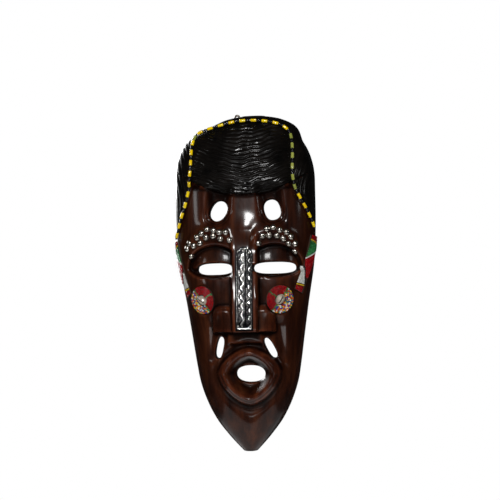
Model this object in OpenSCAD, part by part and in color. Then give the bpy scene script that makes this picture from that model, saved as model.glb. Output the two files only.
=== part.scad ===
// Carved wooden wall mask with a beaded crown string, brow tacks, a metal strip on the nose,
// beadwork bands and rosettes with cowrie shells, and a hanging ring behind the crown.
// Drawn with z = 0 at the chin, the wall at y = 0 and the face towards -Y, then moved so that
// the origin is the point on the wall where the nail stands.

/* [Wood] */
// Height of the wood, chin to crown
mask_h = 400; // [330:5:480]
// Width of the wood at the temples
mask_w = 168; // [140:2:202]
// Depth of the shell at the brow
shell_d = 60; // [54:1:72]
// Straight edge of the wood round the rim
edge_t = 9; // [7:0.5:12]
// Width of the flat back rim
rim_w = 13; // [10:0.5:18]
// Thickness of the wall between face and hollow
wall_t = 16; // [13:0.5:18]
// Height of solid wood above the hollow
crown_t = 62; // [54:1:70]
// Height of the hair above the forehead
hair_t = 8; // [5:0.5:10]

/* [Face] */
// Height of the nose above the cheeks at its tip
nose_h = 26; // [18:1:32]
// Height of the nostril wings above the cheeks
wing_h = 13; // [8:1:15]
// Height of the lips above the face
lip_h = 12; // [8:1:14]
// Width of the left eye slit
eye_w_left = 42; // [36:1:46]
// Width of the right eye slit
eye_w_right = 49; // [40:1:52]
// Height of each eye slit
eye_h = 13.5; // [10:0.5:16]
// Width of the forehead holes
brow_hole_w = 19; // [14:0.5:20]
// Height of the forehead holes
brow_hole_h = 25; // [20:0.5:28]
// Width of the cheek slits
cheek_slit_w = 9; // [7:0.5:10]
// Length of the cheek slits
cheek_slit_l = 26; // [22:1:30]
// Width of the mouth hole
mouth_w = 34; // [28:1:38]
// Height of the mouth hole
mouth_h = 20; // [15:0.5:22]

/* [Brow tacks] */
// Diameter of a tack head
tack_d = 6.8; // [5.8:0.1:7]
// Height of a tack head
tack_t = 3; // [2:0.1:3.4]
// Diameter of a tack shank
shank_d = 1.4; // [1:0.1:1.8]
// Length of a tack shank
shank_l = 6.5; // [5:0.5:8]

/* [Nose strip] */
// Width of the strip
strip_w = 20.4; // [17:0.2:22]
// Thickness of the strip
strip_t = 0.9; // [0.6:0.1:1.2]
// Diameter of the pin heads
pin_d = 2.6; // [2:0.1:3]

/* [Crown string] */
// Diameter of a tube bead
tube_d = 3.6; // [3:0.1:4.2]
// Length of a tube bead
tube_l = 6.8; // [5.6:0.1:7.2]
// Diameter of a spacer bead
spacer_d = 2.4; // [2:0.1:2.6]
// Length of a spacer bead
spacer_l = 1.4; // [1.3:0.1:1.6]
// Diameter of the thread
thread_d = 0.7; // [0.5:0.1:0.8]
// Clearance round the thread in a bead
thread_gap = 0.2; // [0.15:0.05:0.3]

/* [Beadwork] */
// Diameter of a rosette
rosette_d = 33; // [28:0.5:34]
// Thickness of the leather under the beads
leather_t = 1.2; // [0.8:0.1:1.6]
// Thickness of the sewn seed beads
bead_t = 1.8; // [1.4:0.1:2.2]
// Depth of the flat seat cut for a rosette
seat_d = 2; // [1.6:0.1:2.6]
// Gap between a rosette and its seat wall
seat_gap = 0.4; // [0.3:0.1:0.8]
// Gap between neighbouring bead fields
field_gap = 0.3; // [0.2:0.05:0.5]
// Length of a cowrie shell
cowrie_l = 13; // [11:0.5:14]
// Width of a cowrie shell
cowrie_w = 9.6; // [8:0.2:10]

/* [Hanger] */
// Diameter of the ring wire
wire_d = 2.2; // [1.8:0.1:2.4]
// Width of the ring at its foot
ring_w = 22; // [20:1:24]
// Height of the ring, hinge axis to tip axis
ring_h = 26; // [22:1:30]
// How far the ring shows above the crown
ring_rise = 3.5; // [2:0.5:6]
// Radial clearance of the wire in its barrel
hinge_gap = 0.05; // [0.03:0.01:0.08]
// Width of the strap
strap_w = 12; // [10:0.5:14]
// Thickness of the strap metal
strap_t = 1.2; // [1:0.1:1.4]
// Length of the strap below the hinge
strap_l = 23; // [21:1:25]
// Depth of the pocket in the back of the crown
pocket_d = 5.6; // [5.4:0.1:6.4]
// Diameter of the screw heads
screw_head_d = 5.6; // [5:0.1:6]
// Diameter of the screw shanks
screw_d = 2.8; // [2.4:0.1:3]
// Length of the screws
screw_l = 14; // [12:1:16]

/* [Hidden] */
$fn = 48;

// Places on the face are drawn on a grid 168 wide and 400 high, which stretches with the wood.
stretch = [mask_w / 168, mask_h / 400];
grid_top = 400;
temple = 84;        // half the grid width
crown_foot = 320;   // where the crown starts to round over
crown_power = 2.25;
crown_flat = 14;    // half width of the crown's highest edge
crown_lean = 12;    // sideways lean of the crown's highest edge
skin = 0.2;         // air under pieces laid on the carved face

// Half width of the wood at heights up the jaw, from the chin
jaw_line = [[0, 9], [9, 17.5], [20, 27], [36, 39], [56, 49.5], [80, 58], [104, 62.5],
    [135, 67], [175, 73], [225, 81], [270, 83.6], [320, 84]];
// Height of the nose ridge above the face, as a share of nose_h
nose_line = [[140, 0.9], [147, 1], [170, 0.9], [200, 0.62], [228, 0.3], [244, 0.12], [262, 0]];

nose_x = 2;
nose_foot = 143;
eyes = [[-34.5, 217], [36, 217]];
brow_holes = [[-28.5, 285], [34.5, 285]];
cheek_slits = [[-30.5, 125], [29, 123.5]];
cheek_slit_lean = [-13, 26];
lips = [4, 94.5];
lips_size = [35.5, 29, 36];   // half width, height above and below the corners
mouth = [5, 93.5];
rosettes = [[-49, 181], [42, 180]];
wings = [[-23.5, 157], [22, 157]];

function smooth(t) = let (c = min(max(t, 0), 1)) c * c * (3 - 2 * c);
function hill(d, r) = exp(-(d * d) / (r * r));
function mix(a, b, t) = a + (b - a) * t;

function slope(p, i) = let (a = max(i - 1, 0), b = min(i + 1, len(p) - 1))
    (p[b][1] - p[a][1]) / (p[b][0] - p[a][0]);
// A smooth curve through the points p, read at x
function curve(p, x, i = 0) = x > p[i + 1][0] && i < len(p) - 2 ? curve(p, x, i + 1) :
    let (w = p[i + 1][0] - p[i][0], t = min(max((x - p[i][0]) / w, 0), 1),
        s0 = slope(p, i) * w, s1 = slope(p, i + 1) * w)
    (2 * pow(t, 3) - 3 * t * t + 1) * p[i][1] + (pow(t, 3) - 2 * t * t + t) * s0
        + (3 * t * t - 2 * pow(t, 3)) * p[i + 1][1] + (pow(t, 3) - t * t) * s1;

function half_width(z) = z <= crown_foot ? curve(jaw_line, z) :
    let (t = min((z - crown_foot) / (grid_top - crown_foot), 1))
    max(crown_flat, temple * pow(1 - pow(t, crown_power), 1 / crown_power));
function centre_x(z) = crown_lean * smooth((z - 366) / 26);

// Depth of the shell down the middle
function crest(z) = let (t = z > 235 ? (z - 235) / 166 : (235 - z) / 243)
    edge_t + (shell_d - edge_t) * sqrt(max(0, 1 - pow(t, 3.1)));
function shell(s, z) =
    edge_t + (crest(z) - edge_t) * pow(max(0, 1 - pow(abs(s), 2.7)), 0.46);

function fringe(x) = 302.5 + 0.0045 * pow(x - 3, 2);
// Where the string runs down each side
function string_x(x, z) = x < 0 ? curve(string_left, z) : curve(string_right, z);
string_left = [[250, 80.5], [263, 77], [286, 70], [310, 63], [340, 58.7], [366, 57]];
string_right = [[250, 88], [262, 83.5], [287, 73.5], [312, 61.5], [338, 59.4], [365, 58.8]];

function hair(x, z) =
    let (front = smooth((z - fringe(x)) / 5 + 0.6) * (0.5 + 0.5 * hill(z - fringe(x) - 10, 34)),
        side = smooth((abs(x) - string_x(x, z)) / 4 + 0.3) * smooth((z - 250) / 20) * 0.6)
    hair_t * max(front, side);
function brow(x, z) = let (a = abs(x + 1)) 4.5 * hill(z - (260 - 0.02 * pow(a - 35, 2)), 9)
    * smooth((a - 8) / 10) * smooth((72 - a) / 14);
function brow_hollow(x, z) = let (c = x < 0 ? brow_holes[0] : brow_holes[1])
    -9 * exp(-pow((x - c[0] * (1 - (z - c[1]) / 300)) / 13, 4) - pow((z - c[1] - 6) / 21, 4));
function eye(x, z) = let (c = x < 0 ? eyes[0] : eyes[1], dx = (x - c[0]) / 28)
    -12 * exp(-pow(dx, 4) - pow((z - 227) / 17, 4))
        + 5.5 * exp(-pow(dx * 1.15, 4)) * hill(z - 231, 7.5);
function cheek(x, z) = let (c = x < 0 ? -41 : 40)
    5 * hill(x - c, 26) * hill(z - 190, 26)
        - 8 * hill(abs(x - 2) - 37 + (z - 150) * 0.08, 7) * smooth((168 - z) / 12)
        * smooth((z - 104) / 16);
function nose(x, z) = nose_h * curve(nose_line, z) * smooth((17.5 - abs(x - nose_x)) / 4.5)
    * smooth((z - nose_foot) / 2 + 0.5);
function wing(x, z) = let (c = x < nose_x ? wings[0] : wings[1],
        r = pow(abs(x - c[0]) / 12.5, 4) + (z > 158 ? pow((z - 158) / 14, 4) : 0))
    wing_h * smooth((1.25 - r) / 0.6) * smooth((z - nose_foot) / 2 + 0.5);
function lip_shelf(x, z) = 4 * smooth((24 - abs(x - 1)) / 6) * smooth((z - 127) / 5)
    * smooth((143.5 - z) / 2);
function lip_ring(x, z) = let (dz = (z - lips[1]) / (z > lips[1] ? lips_size[1] : lips_size[2]),
        r = pow(pow(abs(x - lips[0]) / lips_size[0], 1.6) + pow(abs(dz), 1.6), 1 / 1.6))
    lip_h * smooth((1.12 - r) / 0.26) - (lip_h + 7) * smooth((0.84 - r) / 0.42)
        - 2 * hill(r - 1.2, 0.12);
function keel(x, z) = 2.5 * hill(x - 3, 12) * smooth((62 - z) / 30);

// Depth of the carved face at a place on the grid
function face(x, z) = let (s = (x - centre_x(z)) / half_width(z), inside = smooth((1 - abs(s)) / 0.05)
        * smooth((grid_top - z) / 5))
    shell(s, z) + inside * (hair(x, z) + brow(x, z) + brow_hollow(x, z) + eye(x, z) + cheek(x, z)
        + max(nose(x, z), wing(x, z)) + lip_shelf(x, z) + lip_ring(x, z) + keel(x, z));

function on_wood(x, z) = [x * stretch[0], -face(x, z), z * stretch[1]];
function unit(v) = v / norm(v);
// The direction out of the face, read over a patch of the given reach
function outward(x, z, reach = 1.5) = let (a = on_wood(x - reach, z), b = on_wood(x + reach, z),
        c = on_wood(x, z - reach), d = on_wood(x, z + reach)) unit(cross(b - a, d - c));
// A place from its share of the half width; turn runs from 0 in the middle to 1 at the rim
function round_x(turn, z) = centre_x(z) + half_width(z) * sin(90 * turn);

// Moves children onto the face, their +Z outwards, +X to the face's right and +Y up it
module on_face(p, lift = 0, reach = 1.5) {
    n = outward(p[0], p[1], reach);
    u = unit(cross([0, 0, 1], n));
    v = cross(n, u);
    o = on_wood(p[0], p[1]) + n * lift;
    multmatrix([[u[0], v[0], n[0], o[0]], [u[1], v[1], n[1], o[1]], [u[2], v[2], n[2], o[2]],
        [0, 0, 0, 1]]) children();
}

hang_x = -8;
axis_z = mask_h + ring_rise - wire_d / 2 - ring_h;
barrel_r = wire_d / 2 + hinge_gap + strap_t;
axis_y = barrel_r - pocket_d;
nail_z = axis_z + ring_h - wire_d / 2;

module in_row_frame() {
    translate([-hang_x, 0, -nail_z]) children();
}

// Cuts or pieces drawn flat on the grid and pushed through the face along Y
module through(depth) {
    rotate([90, 0, 0]) translate([0, 0, -1]) linear_extrude(depth) children();
}

// Faces of a thin closed skin made of two grids of points, one grid over the other
function skin_faces(across, down) = let (wide = across + 1, count = wide * (down + 1),
        edge = concat([for (i = [0:across]) i], [for (j = [1:down]) j * wide + across],
            [for (i = [across - 1:-1:0]) down * wide + i], [for (j = [down - 1:-1:1]) j * wide]))
    concat(
        [for (j = [0:down - 1]) for (i = [0:across - 1]) let (a = j * wide + i) each
            [[a, a + 1, a + wide + 1], [a, a + wide + 1, a + wide]]],
        [for (j = [0:down - 1]) for (i = [0:across - 1]) let (a = count + j * wide + i) each
            [[a, a + wide + 1, a + 1], [a, a + wide, a + wide + 1]]],
        [for (k = [0:len(edge) - 1]) let (a = edge[k], b = edge[(k + 1) % len(edge)]) each
            [[a, count + a, b], [b, count + a, count + b]]]);

// A skin over the face between the corners top left, top right, bottom right, bottom left,
// which are [turn, z]; it lies from low to high above the wood
function corner_mix(q, u, v) = mix(mix(q[0], q[1], u), mix(q[3], q[2], u), v);
module patch(q, low, high, across, down) {
    rows = [for (j = [0:down]) for (i = [0:across])
        let (c = corner_mix(q, i / across, j / down)) [round_x(c[0], c[1]), c[1]]];
    polyhedron([for (h = [high, low]) for (p = rows) on_wood(p[0], p[1]) + outward(p[0], p[1]) * h],
        skin_faces(across, down));
}

// Running length at each point of a line, and the step of that line at a given length
function lengths(p) = [for (k = 0, s = 0; k < len(p); s = s + norm(p[min(k + 1, len(p) - 1)] - p[k]),
    k = k + 1) s];
function step_at(table, s) = let (k = max([for (i = [0:len(table) - 2]) table[i] <= s ? i : 0]))
    k + (s - table[k]) / (table[k + 1] - table[k]);

/* Carved body */

rows_jaw = 56;
columns = 25;
row_z = concat([for (i = [0:rows_jaw - 1]) crown_foot * pow(i / rows_jaw, 1.1)],
    [for (a = [0, 12, 24, 34, 43, 51, 58, 64, 70, 75])
        crown_foot + (grid_top - crown_foot) * pow(sin(a), 2 / crown_power)], [grid_top]);
column_s = [for (j = [-columns:columns]) let (t = j / columns) 0.45 * sin(90 * t) + 0.55 * t];

module block() {
    wide = len(column_s);
    last = len(row_z) - 1;
    front = [for (z = row_z) for (s = column_s) on_wood(centre_x(z) + half_width(z) * s, z)];
    back = [for (z = row_z) for (s = [-1, 1])
        [(centre_x(z) + half_width(z) * s) * stretch[0], 0, z * stretch[1]]];
    first_back = len(front);
    function f(i, j) = i * wide + j;
    function b(i, side) = first_back + 2 * i + side;
    faces = concat(
        [for (i = [0:last - 1]) for (j = [0:wide - 2]) each
            [[f(i, j), f(i + 1, j), f(i + 1, j + 1)], [f(i, j), f(i + 1, j + 1), f(i, j + 1)]]],
        [for (i = [0:last - 1]) [b(i, 0), b(i, 1), b(i + 1, 1), b(i + 1, 0)]],
        [for (i = [0:last - 1]) each
            [[f(i, 0), b(i, 0), b(i + 1, 0)], [f(i, 0), b(i + 1, 0), f(i + 1, 0)]]],
        [for (i = [0:last - 1]) each
            [[f(i, wide - 1), b(i + 1, 1), b(i, 1)], [f(i, wide - 1), f(i + 1, wide - 1), b(i + 1, 1)]]],
        [[b(0, 0), for (j = [0:wide - 1]) f(0, j)], [b(0, 0), f(0, wide - 1), b(0, 1)]],
        [[b(last, 1), for (j = [wide - 1:-1:0]) f(last, j)], [b(last, 1), f(last, 0), b(last, 0)]]);
    polyhedron(points = concat(front, back), faces = faces);
}

hollow_foot = 22;
hollow_top = grid_top - crown_t / stretch[1];
barrel_back = 70;     // how far behind the wall the hollow's round sweep is centred
sweep = [for (k = [0:14]) mix(hollow_foot, hollow_top, k / 14)];

function hollow_half(z) = (half_width(z)) * stretch[0] - rim_w;
module hollow() {
    z_list = [for (k = [0:22]) mix(hollow_foot, hollow_top, k / 22)];
    side = [for (z = z_list) let (end = sqrt(max(0.02, 1 - pow(2 * (z - hollow_foot)
        / (hollow_top - hollow_foot) - 1, 12)))) [max(4, hollow_half(z) * end), z * stretch[1]]];
    intersection() {
        through(shell_d + 10)
            polygon(concat(side, [for (k = [len(side) - 1:-1:0]) [-side[k][0], side[k][1]]]));
        translate([0, barrel_back, 0]) rotate_extrude($fn = 96)
            polygon(concat([[0, hollow_foot * stretch[1] - 1]],
                [for (z = sweep) let (t = 2 * (z - hollow_foot) / (hollow_top - hollow_foot) - 1)
                    [barrel_back + 6 + (crest(z) - wall_t - 6) * sqrt(max(0, 1 - pow(t, 6))),
                        z * stretch[1] + (z == sweep[0] ? -1 : z == sweep[14] ? 1 : 0)]],
                [[0, hollow_top * stretch[1] + 1]]));
    }
}

// A hole of the given width and height; a higher power makes squarer corners
module hole_outline(w, h, power) {
    polygon([for (a = [0:15:345]) [w / 2 * sign(cos(a)) * pow(abs(cos(a)), 2 / power),
        h / 2 * sign(sin(a)) * pow(abs(sin(a)), 2 / power)]]);
}

module at_place(p, lean = 0) {
    translate([p[0] * stretch[0], p[1] * stretch[1]]) rotate(lean) children();
}

module face_holes() {
    through(shell_d + nose_h + 20) {
        at_place(eyes[0]) hole_outline(eye_w_left, eye_h, 2.8);
        at_place(eyes[1]) hole_outline(eye_w_right, eye_h, 2.8);
        at_place(brow_holes[0], -30) hole_outline(brow_hole_w, brow_hole_h, 2.3);
        at_place(brow_holes[1], 16) hole_outline(brow_hole_w, brow_hole_h, 2.3);
        for (k = [0, 1]) at_place(cheek_slits[k], cheek_slit_lean[k])
            hole_outline(cheek_slit_w, cheek_slit_l, 2.6);
        at_place(mouth) hole_outline(mouth_w, mouth_h, 2.2);
    }
}

pocket_w = ring_w + wire_d + 3;
pocket_foot = axis_z - strap_l - 3;
screw_z = [axis_z - 8, axis_z - strap_l + 5];

module hanger_pocket() {
    translate([hang_x - pocket_w / 2, -pocket_d, pocket_foot])
        cube([pocket_w, pocket_d + 1, mask_h - pocket_foot + 5]);
    for (z = screw_z) translate([hang_x, -pocket_d + 1, z]) rotate([90, 0, 0])
        cylinder(d = screw_d, h = screw_l + 1.5);
}

module rosette_seat(p) {
    on_face(p, -seat_d, 10) cylinder(d = rosette_d + 2 * seat_gap, h = 12);
}

module carved_body() {
    color([0.17, 0.06, 0.04]) in_row_frame() difference() {
        block();
        hollow();
        face_holes();
        hanger_pocket();
        for (p = rosettes) rosette_seat(p);
    }
}

/* Nose strip */

strip_foot = 146;
strip_top = 242;
strip_gap = 0.5;   // air under the strip
function strip_half(z) = let (r = strip_w / 2) strip_top - z > r ? r :
    sqrt(max(0.6, r * r - pow(r - strip_top + z, 2)));

module nose_strip() {
    across = 10;
    zs = concat([for (k = [0:16]) mix(strip_foot, strip_top - strip_w / 2, k / 16)],
        [for (a = [20, 40, 60, 76, 90]) strip_top - strip_w / 2 * (1 - sin(a))]);
    rows = [for (z = zs) for (i = [0:across]) [nose_x + strip_half(z) / stretch[0]
        * (2 * i / across - 1), z]];
    color([0.62, 0.62, 0.6]) in_row_frame() polyhedron([for (h = [strip_gap, strip_gap + strip_t])
        for (p = rows) on_wood(p[0], p[1]) + outward(nose_x, p[1], 3) * h],
        skin_faces(across, len(zs) - 1));
}

module nose_strip_pins() {
    color([0.5, 0.5, 0.48]) in_row_frame()
        for (p = [[-1, 150.5], [1, 150.5], [0, 238.5]])
            on_face([nose_x + p[0] * (strip_w / 2 - 3), p[1]], 0, 3) {
                translate([0, 0, strip_gap + strip_t]) cylinder(d = pin_d, h = 0.7);
                translate([0, 0, -6]) cylinder(d = 1, h = 6 + strip_gap + strip_t);
            }
}

/* Brow tacks */

// The tacks' places from the middle of each brow; they keep their spacing on any width of wood
brow_middle = [[-40, 248], [40, 248]];
tacks_left = [[-26.5, -6], [-23.5, 0], [-13.5, 6.5], [-8, 11], [-1, 15.5], [6.5, 14], [13.5, 11.5],
    [21, 11.5], [-22, -15], [-18, -3], [-10, 0], [-2.5, 6], [6, 7.5], [14.5, 4], [25, 2]];
tacks_right = [[-21.5, -2.5], [-16.5, 6], [-11.5, 14], [-9, 6.5], [-4, 15.5], [0, 6], [3.5, 12.5],
    [11, 10], [7, 2.5], [16, 4.5], [13, -3.5], [20.5, -3.5], [20, -12.5]];
tack_seat = 0.3;   // air under a tack head

module tack() {
    ball = (tack_d * tack_d / 4 + tack_t * tack_t) / (2 * tack_t);
    intersection() {
        translate([0, 0, tack_t - ball]) sphere(ball);
        cylinder(d = tack_d + 1, h = tack_t);
    }
    translate([0, 0, -shank_l]) cylinder(d = shank_d, h = shank_l + 0.5);
}

module tack_group(side, places) {
    color([0.75, 0.74, 0.7]) in_row_frame() for (p = places)
        on_face([for (k = [0, 1]) brow_middle[side][k] + p[k] / stretch[k]], tack_seat, 3) tack();
}

module brow_tacks_left() { tack_group(0, tacks_left); }
module brow_tacks_right() { tack_group(1, tacks_right); }

/* Crown string */

// The thread's route over the hair, from the left band to the right band
string_route = [[-80.6, 254], [-78, 263], [-73.3, 278], [-67.8, 293], [-63, 310], [-60, 326],
    [-58.7, 340], [-58.3, 354], [-57, 366], [-52.5, 376], [-43, 380.5], [-30, 384], [-17, 387.5],
    [-4, 390], [10, 390.5], [24, 389.5], [36, 387.5], [47, 384], [55.5, 376.5], [58.5, 366],
    [59.5, 352], [59.3, 338], [59, 325], [61.5, 312], [67, 299.5], [73, 287.5], [78, 275],
    [82, 263]];
spacers_each = 3;
// The first olive bead sits against its yellow neighbour, with one spacer after it
first_olive = 10;
function spacers(i) = i == first_olive ? 0 : i == first_olive + 1 ? 1 : spacers_each;
function is_olive(i) = i == first_olive || (i > 19 && i < 26);

string_lift = tube_d / 2 + skin;
fine = 4;   // steps between points of the route
function joined(q, t) = let (n = len(q) - 1, i = min(floor(t), n - 1), u = t - i,
        a = q[max(i - 1, 0)], b = q[i], c = q[i + 1], d = q[min(i + 2, n)])
    0.5 * (2 * b + (c - a) * u + (2 * a - 5 * b + 4 * c - d) * u * u
        + (3 * b - a - 3 * c + d) * u * u * u);
// The string rests on the highest wood within this reach
rest_reach = 2.5;
function rest_on(p) = max([for (dx = [-1:1]) for (dz = [-1:1])
    face(p[0] + rest_reach * dx, p[1] + rest_reach * dz)]);
string_points = [for (k = [0:fine * (len(string_route) - 1)]) let (p = joined(string_route, k / fine))
    [p[0] * stretch[0], -rest_on(p), p[1] * stretch[1]] + outward(p[0], p[1], 4) * string_lift];
string_table = lengths(string_points);
string_l = string_table[len(string_table) - 1];
function along(s) = let (t = step_at(string_table, s), k = min(floor(t), len(string_points) - 2))
    mix(string_points[k], string_points[k + 1], t - k);

// A lone spacer turns the corner of the hair, so it has more air than the rest
corner_air = 0.6;
function spacers_before(i) = i < 1 ? 1 : spacers_before(i - 1) + spacers(i)
    + (spacers(i) == 1 ? corner_air : 0);
tube_gap = 0.5;   // air kept free at the ends of a tube bead, both together
tube_pitch = tube_l + tube_gap;
spacer_air = 0.55;   // least air kept beside each spacer, enough for the sharpest bend
spacer_room = spacer_l + spacer_air;
// As many tubes as the thread has room for; two gaps take one spacer between them, and one
// spacer stands at each end
tube_count = floor((string_l + (3 * spacers_each - 3) * spacer_room)
    / (tube_pitch + spacers_each * spacer_room));
spacer_total = spacers_before(tube_count - 1) + 1;
spacer_pitch = (string_l - tube_count * tube_pitch) / spacer_total;
function tube_start(i) = i * tube_pitch + spacers_before(i) * spacer_pitch;
tube_ends = [for (i = [0:tube_count - 1])
    [along(tube_start(i) + tube_gap / 2), along(tube_start(i) + tube_gap / 2 + tube_l)]];
thread_knots = concat([along(0)], [for (e = tube_ends) each e], [along(string_l)]);

// A bored bead of width d and length l, half way between two points
module bead_between(a, b, d, l) {
    v = b - a;
    translate((a + b) / 2) rotate([0, acos(v[2] / norm(v)), atan2(v[1], v[0])]) difference() {
        cylinder(d = d, h = l, center = true);
        cylinder(d = thread_d + 2 * thread_gap, h = l + 1, center = true);
    }
}

module tubes(olive) {
    for (i = [0:tube_count - 1]) if (is_olive(i) == olive)
        bead_between(tube_ends[i][0], tube_ends[i][1], tube_d, norm(tube_ends[i][1] - tube_ends[i][0]));
}

module crown_beads_yellow() { color([0.95, 0.78, 0.08]) in_row_frame() tubes(false); }
module crown_beads_olive() { color([0.55, 0.6, 0.2]) in_row_frame() tubes(true); }

// Spacers share the room between two beads, clear of the bends at its ends
run_clear = 0.11;
module spacer_run(a, b, count) {
    first = mix(a, b, run_clear);
    end = mix(b, a, run_clear);
    if (count > 0) for (k = [0:count - 1])
        bead_between(mix(first, end, k / count), mix(first, end, (k + 1) / count), spacer_d, spacer_l);
}

module crown_beads_black() {
    color([0.06, 0.06, 0.08]) in_row_frame() {
        spacer_run(along(0), tube_ends[0][0], 1);
        for (i = [1:tube_count - 1]) spacer_run(tube_ends[i - 1][1], tube_ends[i][0], spacers(i));
        spacer_run(tube_ends[tube_count - 1][1], along(string_l), 1);
    }
}

module crown_thread() {
    sides = 8;
    last = len(thread_knots) - 1;
    function heading(k) = unit(thread_knots[min(k + 1, last)] - thread_knots[max(k - 1, 0)]);
    rings = [for (k = [0:last]) let (h = heading(k), u = unit(cross(h, [0, 1, 0.001])), v = cross(h, u))
        for (i = [0:sides - 1]) thread_knots[k] + thread_d / 2 * (u * cos(360 * i / sides)
            + v * sin(360 * i / sides))];
    color([0.1, 0.1, 0.1]) in_row_frame() polyhedron(rings, concat(
        [[for (i = [0:sides - 1]) i]],
        [for (k = [0:last - 1]) for (i = [0:sides - 1]) let (n = (i + 1) % sides, a = k * sides) each
            [[a + i, a + sides + i, a + n], [a + n, a + sides + i, a + sides + n]]],
        [[for (i = [sides - 1:-1:0]) last * sides + i]]));
}

/* Side bands */

// Corners are [turn, height]; the left band is the right band mirrored and set further round
band_leather = [[0.77, 255], [0.95, 254], [0.695, 186.5], [0.556, 191.5]];
band_top_red = [[0.785, 254.5], [0.94, 253.5], [0.935, 245.6], [0.763, 250.5]];
band_line_one = [[0.761, 250.1], [0.933, 245.2], [0.93, 243.8], [0.757, 248.7]];
band_green = [[0.755, 248.3], [0.928, 243.4], [0.895, 236.2], [0.672, 228.6]];
band_white_line = [[0.67, 228.2], [0.893, 235.8], [0.886, 234.1], [0.664, 226.5]];
band_red_wedge = [[0.662, 226.1], [0.884, 233.7], [0.738, 203.5], [0.7, 204.5]];
band_white_wedge = [[0.635, 217], [0.655, 217], [0.685, 197.2], [0.57, 199.5]];
band_line_two = [[0.568, 198.9], [0.685, 196.6], [0.682, 194.4], [0.562, 196.7]];
band_foot_red = [[0.56, 196.1], [0.68, 193.8], [0.65, 187.5], [0.56, 191.9]];
left_turn = 0.17;   // the left band sits further round, most where it is nearest the middle
left_drop = 3;      // and lower

function on_side(q, right) = right ? q :
    [for (k = [1, 0, 3, 2]) [-q[k][0] - left_turn * (1 - q[k][0]), q[k][1] - left_drop]];
bead_low = skin + leather_t + 0.1;

module band_leather(right) {
    color([0.2, 0.12, 0.08]) in_row_frame()
        patch(on_side(band_leather, right), skin, skin + leather_t, 6, 16);
}
module band_field(q, right, across = 6, down = 2) {
    patch(on_side(q, right), bead_low, bead_low + bead_t, across, down);
}
module band_red(right) {
    color([0.6, 0.02, 0.05]) in_row_frame() {
        band_field(band_top_red, right, 6, 3);
        band_field(band_red_wedge, right, 6, 8);
        band_field(band_foot_red, right, 4, 3);
    }
}
module band_green(right) { color([0.15, 0.5, 0.2]) in_row_frame() band_field(band_green, right, 7, 6); }
module band_white(right) {
    color([0.85, 0.84, 0.8]) in_row_frame() {
        band_field(band_white_line, right, 7, 1);
        band_field(band_white_wedge, right, 4, 7);
    }
}
module band_yellow(right) {
    color([0.9, 0.65, 0.1]) in_row_frame() {
        band_field(band_line_one, right, 6, 1);
        band_field(band_line_two, right, 4, 1);
    }
}

module band_leather_left() { band_leather(false); }
module band_red_left() { band_red(false); }
module band_green_left() { band_green(false); }
module band_white_left() { band_white(false); }
module band_yellow_left() { band_yellow(false); }
module band_leather_right() { band_leather(true); }
module band_red_right() { band_red(true); }
module band_green_right() { band_green(true); }
module band_white_right() { band_white(true); }
module band_yellow_right() { band_yellow(true); }

/* Rosettes */

// Edges of the red fields, in degrees from the face's right, and the green spoke between them
red_from = [-55, 55];
red_to = [130, 235];
spoke_at = [25, 145];
cowrie_lean = [-38, 52];
spoke_w = 1;
sewn_gap = 0.02;   // air between the leather and what is sewn on it

module seated(side, lift) {
    on_face(rosettes[side], lift - seat_d, 10) children();
}
module pie(from, to, r) {
    steps = ceil((to - from) / 12);
    polygon(concat([[0, 0]], [for (k = [0:steps]) let (a = mix(from, to, k / steps))
        2 * r * [cos(a), sin(a)]]));
}
module shell_window(side) {
    rotate(cowrie_lean[side]) {
        square([cowrie_l - cowrie_w, cowrie_w + 2 * field_gap], center = true);
        for (s = [-1, 1]) translate([s * (cowrie_l - cowrie_w) / 2, 0])
            circle(d = cowrie_w + 2 * field_gap);
    }
}
module spoke_bar(a, grow) {
    rotate(a) translate([0, -spoke_w / 2 - grow]) square([rosette_d, spoke_w + 2 * grow]);
}
module spokes(side, grow) {
    for (a = [red_from[side], spoke_at[side], red_to[side]]) spoke_bar(a, grow);
}
module bead_disc(side) {
    seated(side, leather_t + sewn_gap) linear_extrude(bead_t) difference() {
        intersection() {
            circle(d = rosette_d);
            children();
        }
        shell_window(side);
    }
}

module rosette_leather(side) {
    color([0.2, 0.12, 0.08]) in_row_frame() seated(side, 0) cylinder(d = rosette_d, h = leather_t);
}
module rosette_red(side) {
    color([0.6, 0.02, 0.05]) in_row_frame() bead_disc(side) difference() {
        pie(red_from[side], red_to[side], rosette_d);
        spokes(side, field_gap);
    }
}
module rosette_mixed(side) {
    color([0.8, 0.55, 0.2]) in_row_frame() bead_disc(side) difference() {
        pie(red_to[side], red_from[side] + 360, rosette_d);
        spokes(side, field_gap);
    }
}
module rosette_green(side) {
    color([0.1, 0.4, 0.2]) in_row_frame() bead_disc(side) spokes(side, 0);
}
module cowrie(side) {
    low = cowrie_w * 0.2;
    color([0.85, 0.78, 0.62]) in_row_frame() seated(side, leather_t + sewn_gap)
        rotate([0, 0, cowrie_lean[side]]) difference() {
            intersection() {
                translate([0, 0, low]) rotate([0, 90, 0]) rotate_extrude()
                    polygon([for (k = [0:12]) let (a = 180 * k / 12)
                        [max(0, cowrie_w / 2 * pow(sin(a), 0.85)), -cowrie_l / 2 * cos(a)]]);
                translate([-cowrie_l, -cowrie_w, 0]) cube([2 * cowrie_l, 2 * cowrie_w, cowrie_w]);
            }
            translate([-cowrie_l * 0.42, -0.5, low + cowrie_w / 2 - 1.8])
                cube([cowrie_l * 0.84, 1, 4]);
        }
}

module rosette_leather_left() { rosette_leather(0); }
module rosette_red_left() { rosette_red(0); }
module rosette_mixed_left() { rosette_mixed(0); }
module rosette_green_left() { rosette_green(0); }
module cowrie_left() { cowrie(0); }
module rosette_leather_right() { rosette_leather(1); }
module rosette_red_right() { rosette_red(1); }
module rosette_mixed_right() { rosette_mixed(1); }
module rosette_green_right() { rosette_green(1); }
module cowrie_right() { cowrie(1); }

/* Hanger */

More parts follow.
